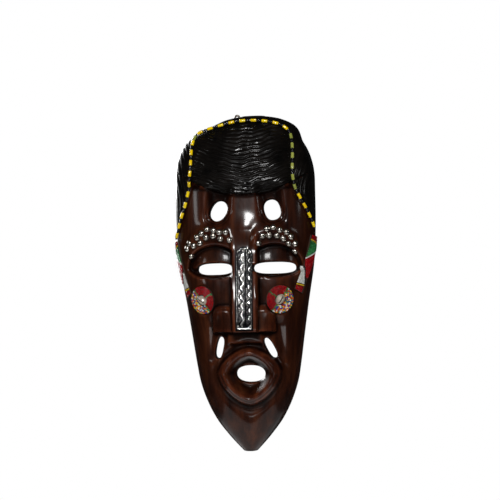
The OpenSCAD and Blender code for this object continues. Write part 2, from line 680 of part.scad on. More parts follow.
barrel_l = 9;
bend_r = 2.6;     // bend radius of the ring wire
bend_d = wire_d + 0.1;   // the wire swells slightly in its bends
bend_lap = 0.3;   // how far the straight wire runs on into a bend

module hanger_strap() {
    color([0.55, 0.52, 0.42]) in_row_frame() translate([hang_x, 0, 0]) difference() {
        union() {
            translate([0, axis_y, axis_z]) rotate([0, 90, 0])
                cylinder(r = barrel_r, h = barrel_l, center = true);
            translate([-strap_w / 2, -pocket_d, axis_z - strap_l])
                cube([strap_w, strap_t, strap_l - barrel_r - 1]);
            translate([-barrel_l / 2, -pocket_d, axis_z - barrel_r - 2])
                cube([barrel_l, strap_t, barrel_r + 2]);
        }
        translate([0, axis_y, axis_z]) rotate([0, 90, 0])
            cylinder(r = wire_d / 2 + hinge_gap, h = barrel_l + 2, center = true);
        for (z = screw_z) translate([0, -pocket_d - 1, z]) rotate([-90, 0, 0])
            cylinder(d = screw_d + 0.3, h = strap_t + 2);
    }
}

module hanger_screws() {
    color([0.72, 0.6, 0.3]) in_row_frame() for (z = screw_z)
        translate([hang_x, strap_t - pocket_d, z]) rotate([90, 0, 0]) {
            translate([0, 0, -1.4]) cylinder(d = screw_head_d, h = 1.4);
            cylinder(d = screw_d - 0.04, h = screw_l);
        }
}

bend_centres = [[ring_w / 2 - bend_r, bend_r], [0, ring_h - bend_r], [bend_r - ring_w / 2, bend_r]];
function heading(v) = atan2(v[1], v[0]);

module hanger_ring() {
    color([0.25, 0.25, 0.26]) in_row_frame() translate([hang_x, axis_y, axis_z]) rotate([90, 0, 0])
        for (k = [0:2]) {
            ahead = bend_centres[(k + 1) % 3] - bend_centres[k];
            behind = bend_centres[k] - bend_centres[(k + 2) % 3];
            turn = (heading(ahead) - heading(behind) + 360) % 360;
            translate(bend_centres[k]) rotate(heading(behind) - 90) {
                rotate_extrude(angle = turn) translate([bend_r, 0]) circle(d = bend_d);
                rotate(turn) translate([bend_r, -bend_lap, 0]) rotate([-90, 0, 0])
                    cylinder(d = wire_d, h = norm(ahead) + 2 * bend_lap);
            }
        }
}

carved_body();
nose_strip();
nose_strip_pins();
brow_tacks_left();
brow_tacks_right();
crown_thread();
crown_beads_yellow();
crown_beads_olive();
crown_beads_black();
band_leather_left();
band_red_left();
band_green_left();
band_white_left();
band_yellow_left();
band_leather_right();
band_red_right();
band_green_right();
band_white_right();
band_yellow_right();
rosette_leather_left();
rosette_red_left();
rosette_mixed_left();
rosette_green_left();
cowrie_left();
rosette_leather_right();
rosette_red_right();
rosette_mixed_right();
rosette_green_right();
cowrie_right();
hanger_strap();
hanger_screws();
hanger_ring();
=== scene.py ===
import bpy
import math
import numpy as np
from mathutils import Matrix, Vector


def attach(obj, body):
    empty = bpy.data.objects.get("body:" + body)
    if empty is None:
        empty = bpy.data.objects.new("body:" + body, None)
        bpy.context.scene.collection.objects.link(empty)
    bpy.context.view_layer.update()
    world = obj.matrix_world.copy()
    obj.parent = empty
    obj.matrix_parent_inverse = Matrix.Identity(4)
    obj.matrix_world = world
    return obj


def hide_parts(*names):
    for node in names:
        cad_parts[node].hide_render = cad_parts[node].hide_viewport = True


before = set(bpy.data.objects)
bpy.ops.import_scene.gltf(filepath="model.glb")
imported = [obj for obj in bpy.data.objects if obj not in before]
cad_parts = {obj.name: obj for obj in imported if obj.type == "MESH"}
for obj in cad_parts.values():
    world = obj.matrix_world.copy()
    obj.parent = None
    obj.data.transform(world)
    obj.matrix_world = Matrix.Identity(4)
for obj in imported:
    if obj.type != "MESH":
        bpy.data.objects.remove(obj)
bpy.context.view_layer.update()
scene = bpy.context.scene
print("frame loaded:", len(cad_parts), "nodes")

# Lengths are in millimetres on the drawing of the mask: x to its left ear from the middle,
# z up from the chin, depth out from the wall. toRow turns them into the frame's metres.
hangX = -8.0
nailZ = 401.3


def toRow(p):
    return (np.asarray(p, float) - np.array([hangX, 0.0, nailZ])) * 0.001


# Camera at eye level, a little towards the mask's left ear
cameraSet = {"lens": 85.0, "sensor": 36.0, "distance": 1.43, "turn": 5.0, "roll": 1.4,
             "aim": (0.0103, 0.0, -0.2027), "shiftY": 0.068}


def makeCamera():
    data = bpy.data.cameras.new("camera")
    data.lens = cameraSet["lens"]
    data.sensor_width = cameraSet["sensor"]
    data.shift_y = cameraSet["shiftY"]
    data.clip_start = 0.05
    data.clip_end = 60.0
    camera = bpy.data.objects.new("camera", data)
    scene.collection.objects.link(camera)
    turn = math.radians(cameraSet["turn"])
    away = Vector((math.sin(turn), -math.cos(turn), 0.0))
    place = Vector(cameraSet["aim"]) + away * cameraSet["distance"]
    facing = (-away).to_track_quat("-Z", "Y").to_matrix().to_4x4()
    roll = Matrix.Rotation(math.radians(-cameraSet["roll"]), 4, "Z")
    camera.matrix_world = Matrix.Translation(place) @ facing @ roll
    scene.camera = camera


makeCamera()
scene.view_settings.view_transform = "Standard"
print("camera set")


# Small shape helpers
def smooth(t):
    c = np.clip(t, 0.0, 1.0)
    return c * c * (3.0 - 2.0 * c)


def hill(d, r):
    return np.exp(-(d * d) / (r * r))


def mix(a, b, t):
    return a + (b - a) * t


def bySide(x, pair):
    return np.where(x < 0, pair[0], pair[1])


def curve(points, x):
    p = np.array(points, float)
    n = len(p)
    x = np.asarray(x, float)
    i = np.clip(np.searchsorted(p[:, 0], x, side="left") - 1, 0, n - 2)
    a = np.maximum(np.arange(n) - 1, 0)
    b = np.minimum(np.arange(n) + 1, n - 1)
    slope = (p[b, 1] - p[a, 1]) / (p[b, 0] - p[a, 0])
    w = p[i + 1, 0] - p[i, 0]
    t = np.clip((x - p[i, 0]) / w, 0.0, 1.0)
    return ((2 * t ** 3 - 3 * t * t + 1) * p[i, 1] + (t ** 3 - 2 * t * t + t) * slope[i] * w
            + (3 * t * t - 2 * t ** 3) * p[i + 1, 1] + (t ** 3 - t * t) * slope[i + 1] * w)


# The carved face, as one depth for each x and z
carving = {
    "height": 400.0, "temple": 84.0, "crownFoot": 320.0, "crownPower": 2.25, "crownFlat": 14.0,
    "crownLean": 12.0, "edge": 9.0, "depth": 60.0, "hair": 8.0, "nose": 26.0, "wing": 13.0,
    "lip": 12.0, "lips": (4.0, 94.5), "lipsWide": 35.5, "lipsUp": 29.0, "lipsDown": 36.0,
    "noseX": 2.0, "noseFoot": 143.0, "browHoles": (-28.5, 34.5), "browHoleZ": 285.0,
    "eyes": (-34.5, 36.0), "eyeZ": 217.0,
}
jawLine = [(0, 9), (9, 17.5), (20, 27), (36, 39), (56, 49.5), (80, 58), (104, 62.5),
           (135, 67), (175, 73), (225, 81), (270, 83.6), (320, 84)]
noseLine = [(140, 0.9), (147, 1), (170, 0.9), (200, 0.62), (228, 0.3), (244, 0.12), (262, 0)]
stringLeft = [(250, 80.5), (263, 77), (286, 70), (310, 63), (340, 58.7), (366, 57)]
stringRight = [(250, 88), (262, 83.5), (287, 73.5), (312, 61.5), (338, 59.4), (365, 58.8)]


def halfWidth(z):
    c = carving
    t = np.clip((np.asarray(z, float) - c["crownFoot"]) / (c["height"] - c["crownFoot"]), 0, 1)
    top = c["temple"] * (1 - t ** c["crownPower"]) ** (1 / c["crownPower"])
    return np.where(t <= 0, curve(jawLine, z), np.maximum(c["crownFlat"], top))


def centreX(z):
    return carving["crownLean"] * smooth((np.asarray(z, float) - 366) / 26)


def crest(z):
    z = np.asarray(z, float)
    t = np.where(z > 235, (z - 235) / 166, (235 - z) / 243)
    return carving["edge"] + (carving["depth"] - carving["edge"]) * np.sqrt(
        np.maximum(0, 1 - np.abs(t) ** 3.1))


def fringe(x):
    return 302.5 + 0.0045 * (x - 3) ** 2


def stringX(x, z):
    return np.where(x < 0, curve(stringLeft, z), curve(stringRight, z))


def hairRise(x, z):
    d = z - fringe(x)
    front = smooth(d / 5 + 0.6) * (0.5 + 0.5 * hill(d - 10, 34))
    side = smooth((np.abs(x) - stringX(x, z)) / 4 + 0.3) * smooth((z - 250) / 20) * 0.6
    return carving["hair"] * np.maximum(front, side)


def browRise(x, z):
    a = np.abs(x + 1)
    between = 3.5 * hill(x - 3, 16) * hill(z - 262, 15)
    return between + (4.5 * hill(z - (260 - 0.02 * (a - 35) ** 2), 9) * smooth((a - 8) / 10)
                      * smooth((72 - a) / 14))


def browHollow(x, z):
    c = bySide(x, carving["browHoles"])
    up = z - carving["browHoleZ"]
    return -9 * np.exp(-((x - c * (1 - up / 300)) / 13) ** 4 - ((up - 6) / 21) ** 4)


def eyeRise(x, z):
    # a half-moon socket with a domed lid running down to the slit
    dx = (x - bySide(x, carving["eyes"])) / 31
    up = z - 219
    r = np.sqrt(dx * dx + (up / np.where(up > 0, 25, 13)) ** 2)
    lid = np.sqrt(np.maximum(0.0, 1 - (r / 0.95) ** 2)) * smooth((up + 4) / 5)
    clear = smooth((np.abs(x - carving["noseX"]) - 12.5) / 4)
    return (-11 * smooth((1.1 - r) / 0.22) + 6.5 * lid) * clear


def cheekRise(x, z):
    return (5 * hill(x - bySide(x, (-41, 40)), 26) * hill(z - 190, 26)
            - 5 * hill(np.abs(x - 2) - 37 + (z - 150) * 0.08, 8) * smooth((168 - z) / 20)
            * smooth((z - 104) / 16))


def noseRise(x, z):
    c = carving
    ridge = (c["nose"] * curve(noseLine, z) * smooth((17.5 - np.abs(x - c["noseX"])) / 4.5))
    side = np.where(x < c["noseX"], -23.5, 22)
    r = (np.abs(x - side) / 13) ** 2.8 + np.where(z > 156, ((z - 156) / 17) ** 2.8, 0)
    return (np.maximum(ridge, c["wing"] * np.sqrt(np.clip((1.3 - r) / 1.0, 0, 1)))
            * smooth((z - c["noseFoot"]) / 2 + 0.5))


def lipShelf(x, z):
    return (4 * smooth((24 - np.abs(x - 1)) / 6) * smooth((z - 127) / 5)
            * smooth((143.5 - z) / 2))


def lipRadius(x, z):
    c = carving
    up = (z - c["lips"][1]) / np.where(z > c["lips"][1], c["lipsUp"], c["lipsDown"])
    return ((np.abs(x - c["lips"][0]) / c["lipsWide"]) ** 1.6 + np.abs(up) ** 1.6) ** (1 / 1.6)


def lipRise(x, z):
    r = lipRadius(x, z)
    return (carving["lip"] * smooth((1.12 - r) / 0.26)
            - (carving["lip"] + 7) * smooth((0.84 - r) / 0.42) - 2 * hill(r - 1.2, 0.12)
            + 1.5 * hill(r - 1.0, 0.045)
            - 1.6 * hill(r - 0.90, 0.035) * smooth((carving["lips"][1] + 2 - z) / 6))


def faceDepth(x, z, withHair=True):
    x = np.asarray(x, float)
    z = np.asarray(z, float)
    s = (x - centreX(z)) / halfWidth(z)
    inside = smooth((1 - np.abs(s)) / 0.05) * smooth((carving["height"] - z) / 5)
    base = carving["edge"] + (crest(z) - carving["edge"]) * np.maximum(
        0, 1 - np.abs(s) ** 2.7) ** 0.46
    rise = (browRise(x, z) + browHollow(x, z) + eyeRise(x, z) + cheekRise(x, z)
            + noseRise(x, z) + lipShelf(x, z) + lipRise(x, z)
            + 2.5 * hill(x - 3, 12) * smooth((62 - z) / 30))
    if withHair:
        rise = rise + hairRise(x, z)
    return base + inside * rise


def onWood(x, z):
    x = np.asarray(x, float)
    z = np.asarray(z, float)
    return np.stack([x, -faceDepth(x, z), z], -1)


def outward(x, z, reach=1.5):
    n = np.cross(onWood(x + reach, z) - onWood(x - reach, z),
                 onWood(x, z + reach) - onWood(x, z - reach))
    return n / np.linalg.norm(n, axis=-1, keepdims=True)


# Mesh helpers
def makePiece(name, points, faces, material, attributes=None, sharpAngle=None):
    mesh = bpy.data.meshes.new(name)
    mesh.from_pydata(toRow(points).tolist(), [], faces)
    mesh.validate()
    for key, values in (attributes or {}).items():
        layer = mesh.attributes.new(key, "FLOAT", "POINT")
        layer.data.foreach_set("value", np.asarray(values, np.float32))
    mesh.polygons.foreach_set("use_smooth", np.ones(len(mesh.polygons), bool))
    if sharpAngle:
        mesh.set_sharp_from_angle(angle=math.radians(sharpAngle))
    mesh.materials.append(material)
    piece = bpy.data.objects.new(name, mesh)
    scene.collection.objects.link(piece)
    return piece


def gridFaces(rows, columns, keep=None, first=0, flip=False):
    j, i = np.mgrid[0:rows - 1, 0:columns - 1]
    a = first + j * columns + i
    quads = np.stack([a, a + 1, a + columns + 1, a + columns], -1)
    if flip:
        quads = quads[..., ::-1]
    quads = quads.reshape(-1, 4) if keep is None else quads[keep]
    return [tuple(q) for q in quads.tolist()]


def wallFaces(keep, columns, n):
    # side walls where a kept cell borders a dropped one
    padded = np.pad(keep, 1)
    faces = []
    for dj, di in ((-1, 0), (1, 0), (0, -1), (0, 1)):
        beyond = padded[1 + dj:padded.shape[0] - 1 + dj, 1 + di:padded.shape[1] - 1 + di]
        js, iss = np.nonzero(keep & ~beyond)
        for j, i in zip(js.tolist(), iss.tolist()):
            a = j * columns + i
            corner = {(-1, 0): (a, a + 1), (1, 0): (a + columns + 1, a + columns),
                      (0, -1): (a + columns, a), (0, 1): (a + 1, a + columns + 1)}[(dj, di)]
            faces.append((corner[1], corner[0], corner[0] + n, corner[1] + n))
    return faces


def slabFaces(keep):
    # a front, a back that faces the other way, and walls round the kept cells
    rows, columns = keep.shape[0] + 1, keep.shape[1] + 1
    n = rows * columns
    return (gridFaces(rows, columns, keep) + gridFaces(rows, columns, keep, n, flip=True)
            + wallFaces(keep, columns, n))


def applied(host):
    bpy.context.view_layer.update()
    graph = bpy.context.evaluated_depsgraph_get()
    return bpy.data.meshes.new_from_object(host.evaluated_get(graph))


def handOver(piece, slot, *nodes):
    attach(piece, "mask")
    if nodes:
        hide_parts(*nodes)


def zipLoops(a, atA, b, atB):
    # a strip of triangles between two closed rings, each sorted by a place from 0 to 1
    faces = []
    i = j = 0
    while i < len(a) or j < len(b):
        nextA = atA[i + 1] if i + 1 < len(a) else (1.0 + atA[0] if i < len(a) else 9.0)
        nextB = atB[j + 1] if j + 1 < len(b) else (1.0 + atB[0] if j < len(b) else 9.0)
        if nextA <= nextB:
            faces.append((a[i % len(a)], b[j % len(b)], a[(i + 1) % len(a)]))
            i += 1
        else:
            faces.append((a[i % len(a)], b[j % len(b)], b[(j + 1) % len(b)]))
            j += 1
    return faces


def blur(values, times):
    v = values.copy()
    for _ in range(times):
        p = np.pad(v, 1, mode="edge")
        v = (p[:-2, 1:-1] + p[2:, 1:-1] + p[1:-1, :-2] + p[1:-1, 2:]) / 4
    return v


# Material helpers
def newMaterial(name):
    material = bpy.data.materials.new(name)
    material.use_nodes = True
    tree = material.node_tree
    shader = next(n for n in tree.nodes if n.type == "BSDF_PRINCIPLED")
    return material, tree, shader


def plug(tree, node, inputs):
    for key, value in inputs.items():
        if isinstance(value, bpy.types.NodeSocket):
            tree.links.new(value, node.inputs[key])
        else:
            node.inputs[key].default_value = value


def addNode(tree, kind, inputs=None, **settings):
    node = tree.nodes.new(kind)
    for key, value in settings.items():
        setattr(node, key, value)
    plug(tree, node, inputs or {})
    return node


def noise(tree, scale, detail=4.0, roughness=0.55, stretch=(1, 1, 1)):
    where = tree.nodes.new("ShaderNodeTexCoord")
    place = addNode(tree, "ShaderNodeMapping", {"Vector": where.outputs["Object"], "Scale": stretch})
    return addNode(tree, "ShaderNodeTexNoise", {"Vector": place.outputs["Vector"], "Scale": scale,
                                                "Detail": detail, "Roughness": roughness}).outputs["Fac"]


def attribute(tree, name):
    return addNode(tree, "ShaderNodeAttribute", attribute_name=name).outputs["Fac"]


def ramp(tree, value, stops, steps="LINEAR"):
    node = addNode(tree, "ShaderNodeValToRGB", {"Fac": value})
    band = node.color_ramp
    band.interpolation = steps
    while len(band.elements) < len(stops):
        band.elements.new(0.5)
    for element, (place, colour) in zip(band.elements, stops):
        element.position = place
        element.color = (*colour, 1.0)
    return node.outputs["Color"]


def grey(v):
    return (v, v, v)


def mixColour(tree, amount, a, b, blend="MIX"):
    node = addNode(tree, "ShaderNodeMix", data_type="RGBA", blend_type=blend)
    for key, value in (("Factor", amount), ("A", a), ("B", b)):
        socket = live(node.inputs, key)
        if isinstance(value, bpy.types.NodeSocket):
            tree.links.new(value, socket)
        else:
            socket.default_value = (*value, 1.0) if isinstance(value, tuple) else value
    return live(node.outputs)


def live(sockets, name=None):
    return next(v for v in sockets if v.enabled and name in (None, v.name))


def sums(tree, operation, a, b):
    return addNode(tree, "ShaderNodeMath", {0: a, 1: b}, operation=operation).outputs[0]


def weighted(tree, a, p, b, q):
    return sums(tree, "ADD", sums(tree, "MULTIPLY", a, p), sums(tree, "MULTIPLY", b, q))


def bump(tree, shader, height, strength, distance):
    node = addNode(tree, "ShaderNodeBump", {"Height": height, "Strength": strength,
                                            "Distance": distance})
    plug(tree, shader, {"Normal": node.outputs["Normal"]})


woodLook = {"dark": (0.006, 0.0015, 0.0008), "middle": (0.024, 0.0058, 0.0024),
            "light": (0.062, 0.0170, 0.0060), "grain": 90.0, "stretch": 0.12,
            "shine": 0.06, "gloss": 0.32, "coat": 0.42, "coatGloss": 0.13}


def woodMaterial():
    look = woodLook
    material, tree, shader = newMaterial("varnishedWood")
    grain = noise(tree, look["grain"], 6.0, 0.62, (1, 1, look["stretch"]))
    figure = noise(tree, 16.0, 3.0, 0.5, (1, 1, 0.35))
    pores = noise(tree, 520.0, 2.0, 0.5, (1, 1, 0.05))
    marks = noise(tree, 120.0, 2.0, 0.4, (1, 1, 0.55))
    smudge = noise(tree, 38.0, 4.0, 0.6)
    # the per-point attribute darkens the colour as painted shade in hollows, creases and shaded places,
    # lightens raised carving as wear, and thins the coat in the dark places
    wearAndShade = attribute(tree, "wearAndShade")
    colour = ramp(tree, weighted(tree, grain, 0.62, figure, 0.38),
                  [(0.36, look["dark"]), (0.50, look["middle"]), (0.66, look["light"])])
    worn = ramp(tree, wearAndShade, [(0.0, grey(0.25)), (0.5, grey(1.0)), (1.0, (1.9, 1.7, 1.6))])
    gloss = look["gloss"]
    plug(tree, shader, {
        "Base Color": mixColour(tree, 1.0, colour, worn, "MULTIPLY"),
        "Roughness": ramp(tree, smudge, [(0.3, grey(gloss)), (0.75, grey(gloss + 0.18))]),
        "Specular IOR Level": look["shine"],
        "Coat Weight": ramp(tree, wearAndShade, [(0.05, grey(0.04)), (0.5, grey(look["coat"]))]),
        "Coat Roughness": look["coatGloss"]})
    bump(tree, shader, weighted(tree, marks, 0.8, pores, 0.12), 0.55, 0.0016)
    return material


hairLook = {"colour": (0.0018, 0.0016, 0.0015), "worn": (0.006, 0.0045, 0.0036), "shine": 0.05,
            "gloss": 0.24, "coat": 0.42, "coatGloss": 0.09}


def hairMaterial():
    look = hairLook
    material, tree, shader = newMaterial("blackHairGloss")
    patches = noise(tree, 45.0, 5.0, 0.6)
    patchy = noise(tree, 34.0, 3.0, 0.6, (1, 1, 2.2))
    gloss = look["gloss"]
    plug(tree, shader, {
        "Base Color": ramp(tree, patches, [(0.35, look["colour"]), (0.75, look["worn"])]),
        "Roughness": ramp(tree, patches, [(0.3, grey(gloss)), (0.8, grey(gloss + 0.25))]),
        "Specular IOR Level": look["shine"],
        "Coat Weight": ramp(tree, patchy, [(0.44, grey(0.03)), (0.66, grey(look["coat"]))]),
        "Coat Roughness": look["coatGloss"]})
    bump(tree, shader, noise(tree, 420.0, 3.0, 0.5, (0.3, 0.3, 1)), 0.3, 0.0008)
    return material


wood = woodMaterial()
hairBlack = hairMaterial()
print("wood and hair materials made")

# Openings through the face: centre, width, height, corner power and lean in degrees
openings = {
    "leftEye": (carving["eyes"][0], carving["eyeZ"], 42.0, 13.5, 2.8, 0.0),
    "rightEye": (carving["eyes"][1], carving["eyeZ"], 49.0, 13.5, 2.8, 0.0),
    "leftBrow": (carving["browHoles"][0], carving["browHoleZ"], 19.0, 25.0, 2.3, -30.0),
    "rightBrow": (carving["browHoles"][1], carving["browHoleZ"], 19.0, 25.0, 2.3, 16.0),
    "leftCheek": (-30.5, 125.0, 9.0, 26.0, 2.6, -13.0),
    "rightCheek": (29.0, 123.5, 9.0, 26.0, 2.6, 26.0),
    "mouth": (5.0, 93.5, 34.0, 20.0, 2.2, 0.0),
}


def openingLevel(opening, x, z):
    cx, cz, w, h, power, lean = opening
    a = math.radians(lean)
    u = (x - cx) * math.cos(a) + (z - cz) * math.sin(a)
    v = (z - cz) * math.cos(a) - (x - cx) * math.sin(a)
    return (np.abs(u / (w / 2)) ** power + np.abs(v / (h / 2)) ** power) ** (1 / power) - 1


def openingDistance(opening, x, z):
    e = 0.05
    level = openingLevel(opening, x, z)
    gx = (openingLevel(opening, x + e, z) - openingLevel(opening, x - e, z)) / (2 * e)
    gz = (openingLevel(opening, x, z + e) - openingLevel(opening, x, z - e)) / (2 * e)
    g2 = np.maximum(gx * gx + gz * gz, 1e-9)
    return level / np.sqrt(g2), level * gx / g2, level * gz / g2


# The wood: a fine carved front, a gouged hollow behind, and walls through the openings
woodSet = {"columns": 201, "rows": 283, "rowsUnderHair": 30, "backColumns": 81, "backRows": 120,
           "edgeRound": 1.8, "hairInlay": 2.2, "rim": 13.0, "wall": 16.0, "hollowFoot": 22.0,
           "hollowTop": 338.0, "barrel": 70.0,
           "fineTop": 310.0, "backTop": 340.0, "backTopRows": 12,
           "pocket": (27.2, 5.6, 350.4)}   # width, depth and foot of the hanger's pocket
rosettePlaces = [(-49.0, 181.0), (42.0, 180.0)]
rosetteSet = {"width": 33.0, "leather": 1.2, "beads": 1.8, "seat": 2.0, "seatGap": 0.4}


def seatPlane(place):
    n = outward(place[0], place[1], 10.0)
    return onWood(place[0], place[1]), n


def frontDepth(x, z):
    depth = faceDepth(x, z)
    for place in rosettePlaces:
        o, n = seatPlane(place)
        o = o - n * rosetteSet["seat"]
        y = o[1] - (n[0] * (x - o[0]) + n[2] * (z - o[2])) / n[1]
        r = np.sqrt((x - o[0]) ** 2 + (y - o[1]) ** 2 + (z - o[2]) ** 2)
        edge = rosetteSet["width"] / 2 + rosetteSet["seatGap"]
        seat = mix(-y, depth, smooth((r - edge) / 1.6))
        depth = np.where((r < edge + 1.6), np.minimum(seat, depth), depth)
    for key in ("leftBrow", "rightBrow"):
        d = openingDistance(openings[key], x, z)[0]
        low = smooth((openings[key][1] + 4 - z) / 7)
        depth = depth - (1.0 * hill(d - 3.6, 0.75) + 0.7 * hill(d - 6.4, 0.7)) * low
    for opening in openings.values():
        d = np.maximum(openingDistance(opening, x, z)[0], 0)
        r = woodSet["edgeRound"]
        depth = depth - np.where(d < r, r - np.sqrt(np.maximum(r * r - (r - d) ** 2, 0)), 0)
    return depth


def hollowDepth(x, z):
    c = woodSet
    t = np.clip(2 * (z - c["hollowFoot"]) / (c["hollowTop"] - c["hollowFoot"]) - 1, -1, 1)
    reach = c["barrel"] + 6 + (crest(z) - c["wall"] - 6) * np.sqrt(np.maximum(0, 1 - t ** 6))
    deep = np.sqrt(np.maximum(reach ** 2 - x ** 2, 0)) - c["barrel"]
    inset = halfWidth(z) - c["rim"] - np.abs(x)
    ends = np.minimum(z - c["hollowFoot"], c["hollowTop"] - z)
    return np.maximum(deep, 0) * smooth(inset / 6) * smooth(ends / 8)


def woodGrid(zs, count):
    t = np.linspace(-1, 1, count)
    s = 0.5 * np.sin(t * math.pi / 2) + 0.5 * t
    z = np.repeat(np.asarray(zs)[:, None], count, 1)
    return centreX(z) + halfWidth(z) * s[None, :], z, np.repeat(s[None, :], len(zs), 0)


def cutOpenings(x, z):
    # drops the cells inside each opening and pulls the ragged edge onto its outline
    xc = (x[:-1, :-1] + x[1:, 1:]) / 2
    zc = (z[:-1, :-1] + z[1:, 1:]) / 2
    keep = np.ones(xc.shape, bool)
    rings = {}
    for key, opening in openings.items():
        gone = openingLevel(opening, xc, zc) < 0
        keep &= ~gone
        count = np.zeros(x.shape, int)
        for dj in (0, 1):
            for di in (0, 1):
                count[dj:dj + gone.shape[0], di:di + gone.shape[1]] += gone
        edge = (count > 0) & (count < 4)
        for _ in range(3):
            _, dx, dz = openingDistance(opening, x[edge], z[edge])
            x[edge] -= dx
            z[edge] -= dz
        ids = np.flatnonzero(edge)
        place = np.arctan2((z.ravel()[ids] - opening[1]) / opening[3],
                           (x.ravel()[ids] - opening[0]) / opening[2]) / (2 * math.pi) % 1.0
        order = np.argsort(place)
        rings[key] = (ids[order], place[order])
    return keep, rings


def outerRing(rows, columns, s, z):
    ids = np.arange(rows * columns).reshape(rows, columns)
    low = list(ids[0, :-1]) + list(ids[:-1, -1])
    high = list(ids[-1, :0:-1]) + list(ids[:0:-1, 0])
    top = carving["height"]
    place = np.concatenate([(s[0, :-1] + 1) / 8, 0.25 + z[:-1, -1] / top / 4,
                            0.5 + (1 - s[-1, :0:-1]) / 8, 0.75 + (1 - z[:0:-1, 0] / top) / 4])
    return np.array(low + high), place


def paintedShade(x, z, s):
    # painted shade: darker in the scoops under the hair, the eye sockets and towards the sides
    middle = bySide(x, carving["browHoles"])
    scoop = np.exp(-((x - middle) / 12.5) ** 6) * smooth((z - 283) / 8)
    eye = (x - bySide(x, carving["eyes"])) / 30
    lid = np.exp(-eye ** 4 - ((z - 229) / 15) ** 4)
    return 0.55 * scoop + 0.30 * lid + 0.22 * smooth((np.abs(s) - 0.6) / 0.3)


def cutPocket(piece):
    # the pocket in the back of the crown, cut with a plain block and kept as a mesh
    c = woodSet
    w, deep, foot = c["pocket"]
    x0, x1 = hangX - w / 2, hangX + w / 2
    corners = [(x, y, z) for z in (foot, carving["height"] + 6) for x, y in
               ((x0, 1.0), (x1, 1.0), (x1, -deep), (x0, -deep))]
    faces = [(0, 1, 2, 3), (7, 6, 5, 4), (1, 0, 4, 5), (2, 1, 5, 6), (3, 2, 6, 7), (0, 3, 7, 4)]
    block = makePiece("pocketBlock", corners, faces, wood)
    block.data.polygons.foreach_set("use_smooth", np.zeros(6, bool))
    cut = piece.modifiers.new("pocket", "BOOLEAN")
    cut.operation = "DIFFERENCE"
    cut.object = block
    done = applied(piece)
    piece.modifiers.clear()
    piece.data = done
    done.set_sharp_from_angle(angle=math.radians(50))
    bpy.data.objects.remove(block)


def buildWood():
    c = woodSet
    top = carving["height"]
    ts = np.linspace(0, 1, c["rowsUnderHair"] + 1)[1:]
    zs = np.concatenate([np.linspace(0, c["fineTop"], c["rows"]),
                         c["fineTop"] + (top - c["fineTop"]) * np.sin(ts * math.pi / 2)])
    x, z, s = woodGrid(zs, c["columns"])
    keep, rings = cutOpenings(x, z)
    rise = hairRise(x, z)
    depth = frontDepth(x, z) - c["hairInlay"] * smooth(rise / 3)
    # painted shade: the colour darkens where the carving sits below its blurred surroundings, in recesses
    # and fine creases, and lightens on raised carving as wear
    recess = blur(depth, 30) - depth
    fine = blur(depth, 4) - depth
    wearAndShade = np.clip(0.5 - recess * 0.10 - fine * 0.9 - paintedShade(x, z, s), 0, 1)
    front = np.stack([x, -depth, z], -1).reshape(-1, 3)
    faces = gridFaces(len(zs), c["columns"], keep)
    ts = np.linspace(0, 1, c["backTopRows"] + 1)[1:]
    backZ = np.concatenate([np.linspace(0, c["backTop"], c["backRows"]),
                            c["backTop"] + (top - c["backTop"]) * np.sin(ts * math.pi / 2)])
    bx, bz, bs = woodGrid(backZ, c["backColumns"])
    backKeep, backRings = cutOpenings(bx, bz)
    backDepth = hollowDepth(bx, bz)
    first = len(front)
    backPoints = np.stack([bx, -backDepth, bz], -1).reshape(-1, 3)
    faces += gridFaces(len(backZ), c["backColumns"], backKeep, first, flip=True)
    outer, outerAt = outerRing(len(zs), c["columns"], s, z)
    backOuter, backAt = outerRing(len(backZ), c["backColumns"], bs, bz)
    faces += [f[::-1] for f in zipLoops(outer.tolist(), outerAt, (backOuter + first).tolist(), backAt)]
    for key in openings:
        a, atA = rings[key]
        b, atB = backRings[key]
        faces += zipLoops(a.tolist(), atA, (b + first).tolist(), atB)
    points = np.concatenate([front, backPoints])
    values = np.concatenate([wearAndShade.ravel(), np.full(len(backPoints), 0.3)])
    piece = makePiece("carvedWood", points, faces, wood, attributes={"wearAndShade": values}, sharpAngle=50)
    before = len(piece.data.polygons)
    cutPocket(piece)
    print("pocket cut, faces:", before, "to", len(piece.data.polygons))
    handOver(piece, "wood", "carved_body")


buildWood()
print("carved wood built")


# The hair: arched ridges over the forehead, swept ridges at the sides
hairSet = {"columns": 221, "rows": 210, "pitch": 4.9, "sidePitch": 4.2, "ridge": 1.3, "sideRidge": 1.1,
           "sunk": 3.0, "foot": 243.0, "thick": 1.5}


def hairMask(x, z):
    d = z - fringe(x)
    side = np.abs(x) - stringX(x, z)
    return np.maximum(d, np.where(z > hairSet["foot"], side + 1.0, -9.0))


def hairRidges(x, z):
    c = hairSet
    d = z - fringe(x)
    wander = (1.5 * np.sin(x * 0.075 + 1.3 + z * 0.02) + 0.8 * np.sin(x * 0.19 + z * 0.08)
              + 0.45 * np.sin(x * 0.43 - z * 0.11))
    uneven = 0.9 + 0.45 * np.sin(x * 0.13 + z * 0.21) * np.sin(x * 0.052 - z * 0.17)
    front = np.abs(np.sin(math.pi * (d + wander) / c["pitch"])) ** 0.7
    sweep = (np.abs(x) - stringX(x, z)) * 0.75 + (330 - z) * 0.28 + 0.5 * np.sin(z * 0.13)
    side = np.abs(np.sin(math.pi * sweep / c["sidePitch"])) ** 0.7
    outside = smooth((np.abs(x) - stringX(x, z)) / 1.5 + 0.5)
    crown = smooth((z - 388) / 3)
    rows = mix(front * c["ridge"] * uneven, side * c["sideRidge"], outside)
    return rows * (1 - 0.5 * crown) - c["ridge"]


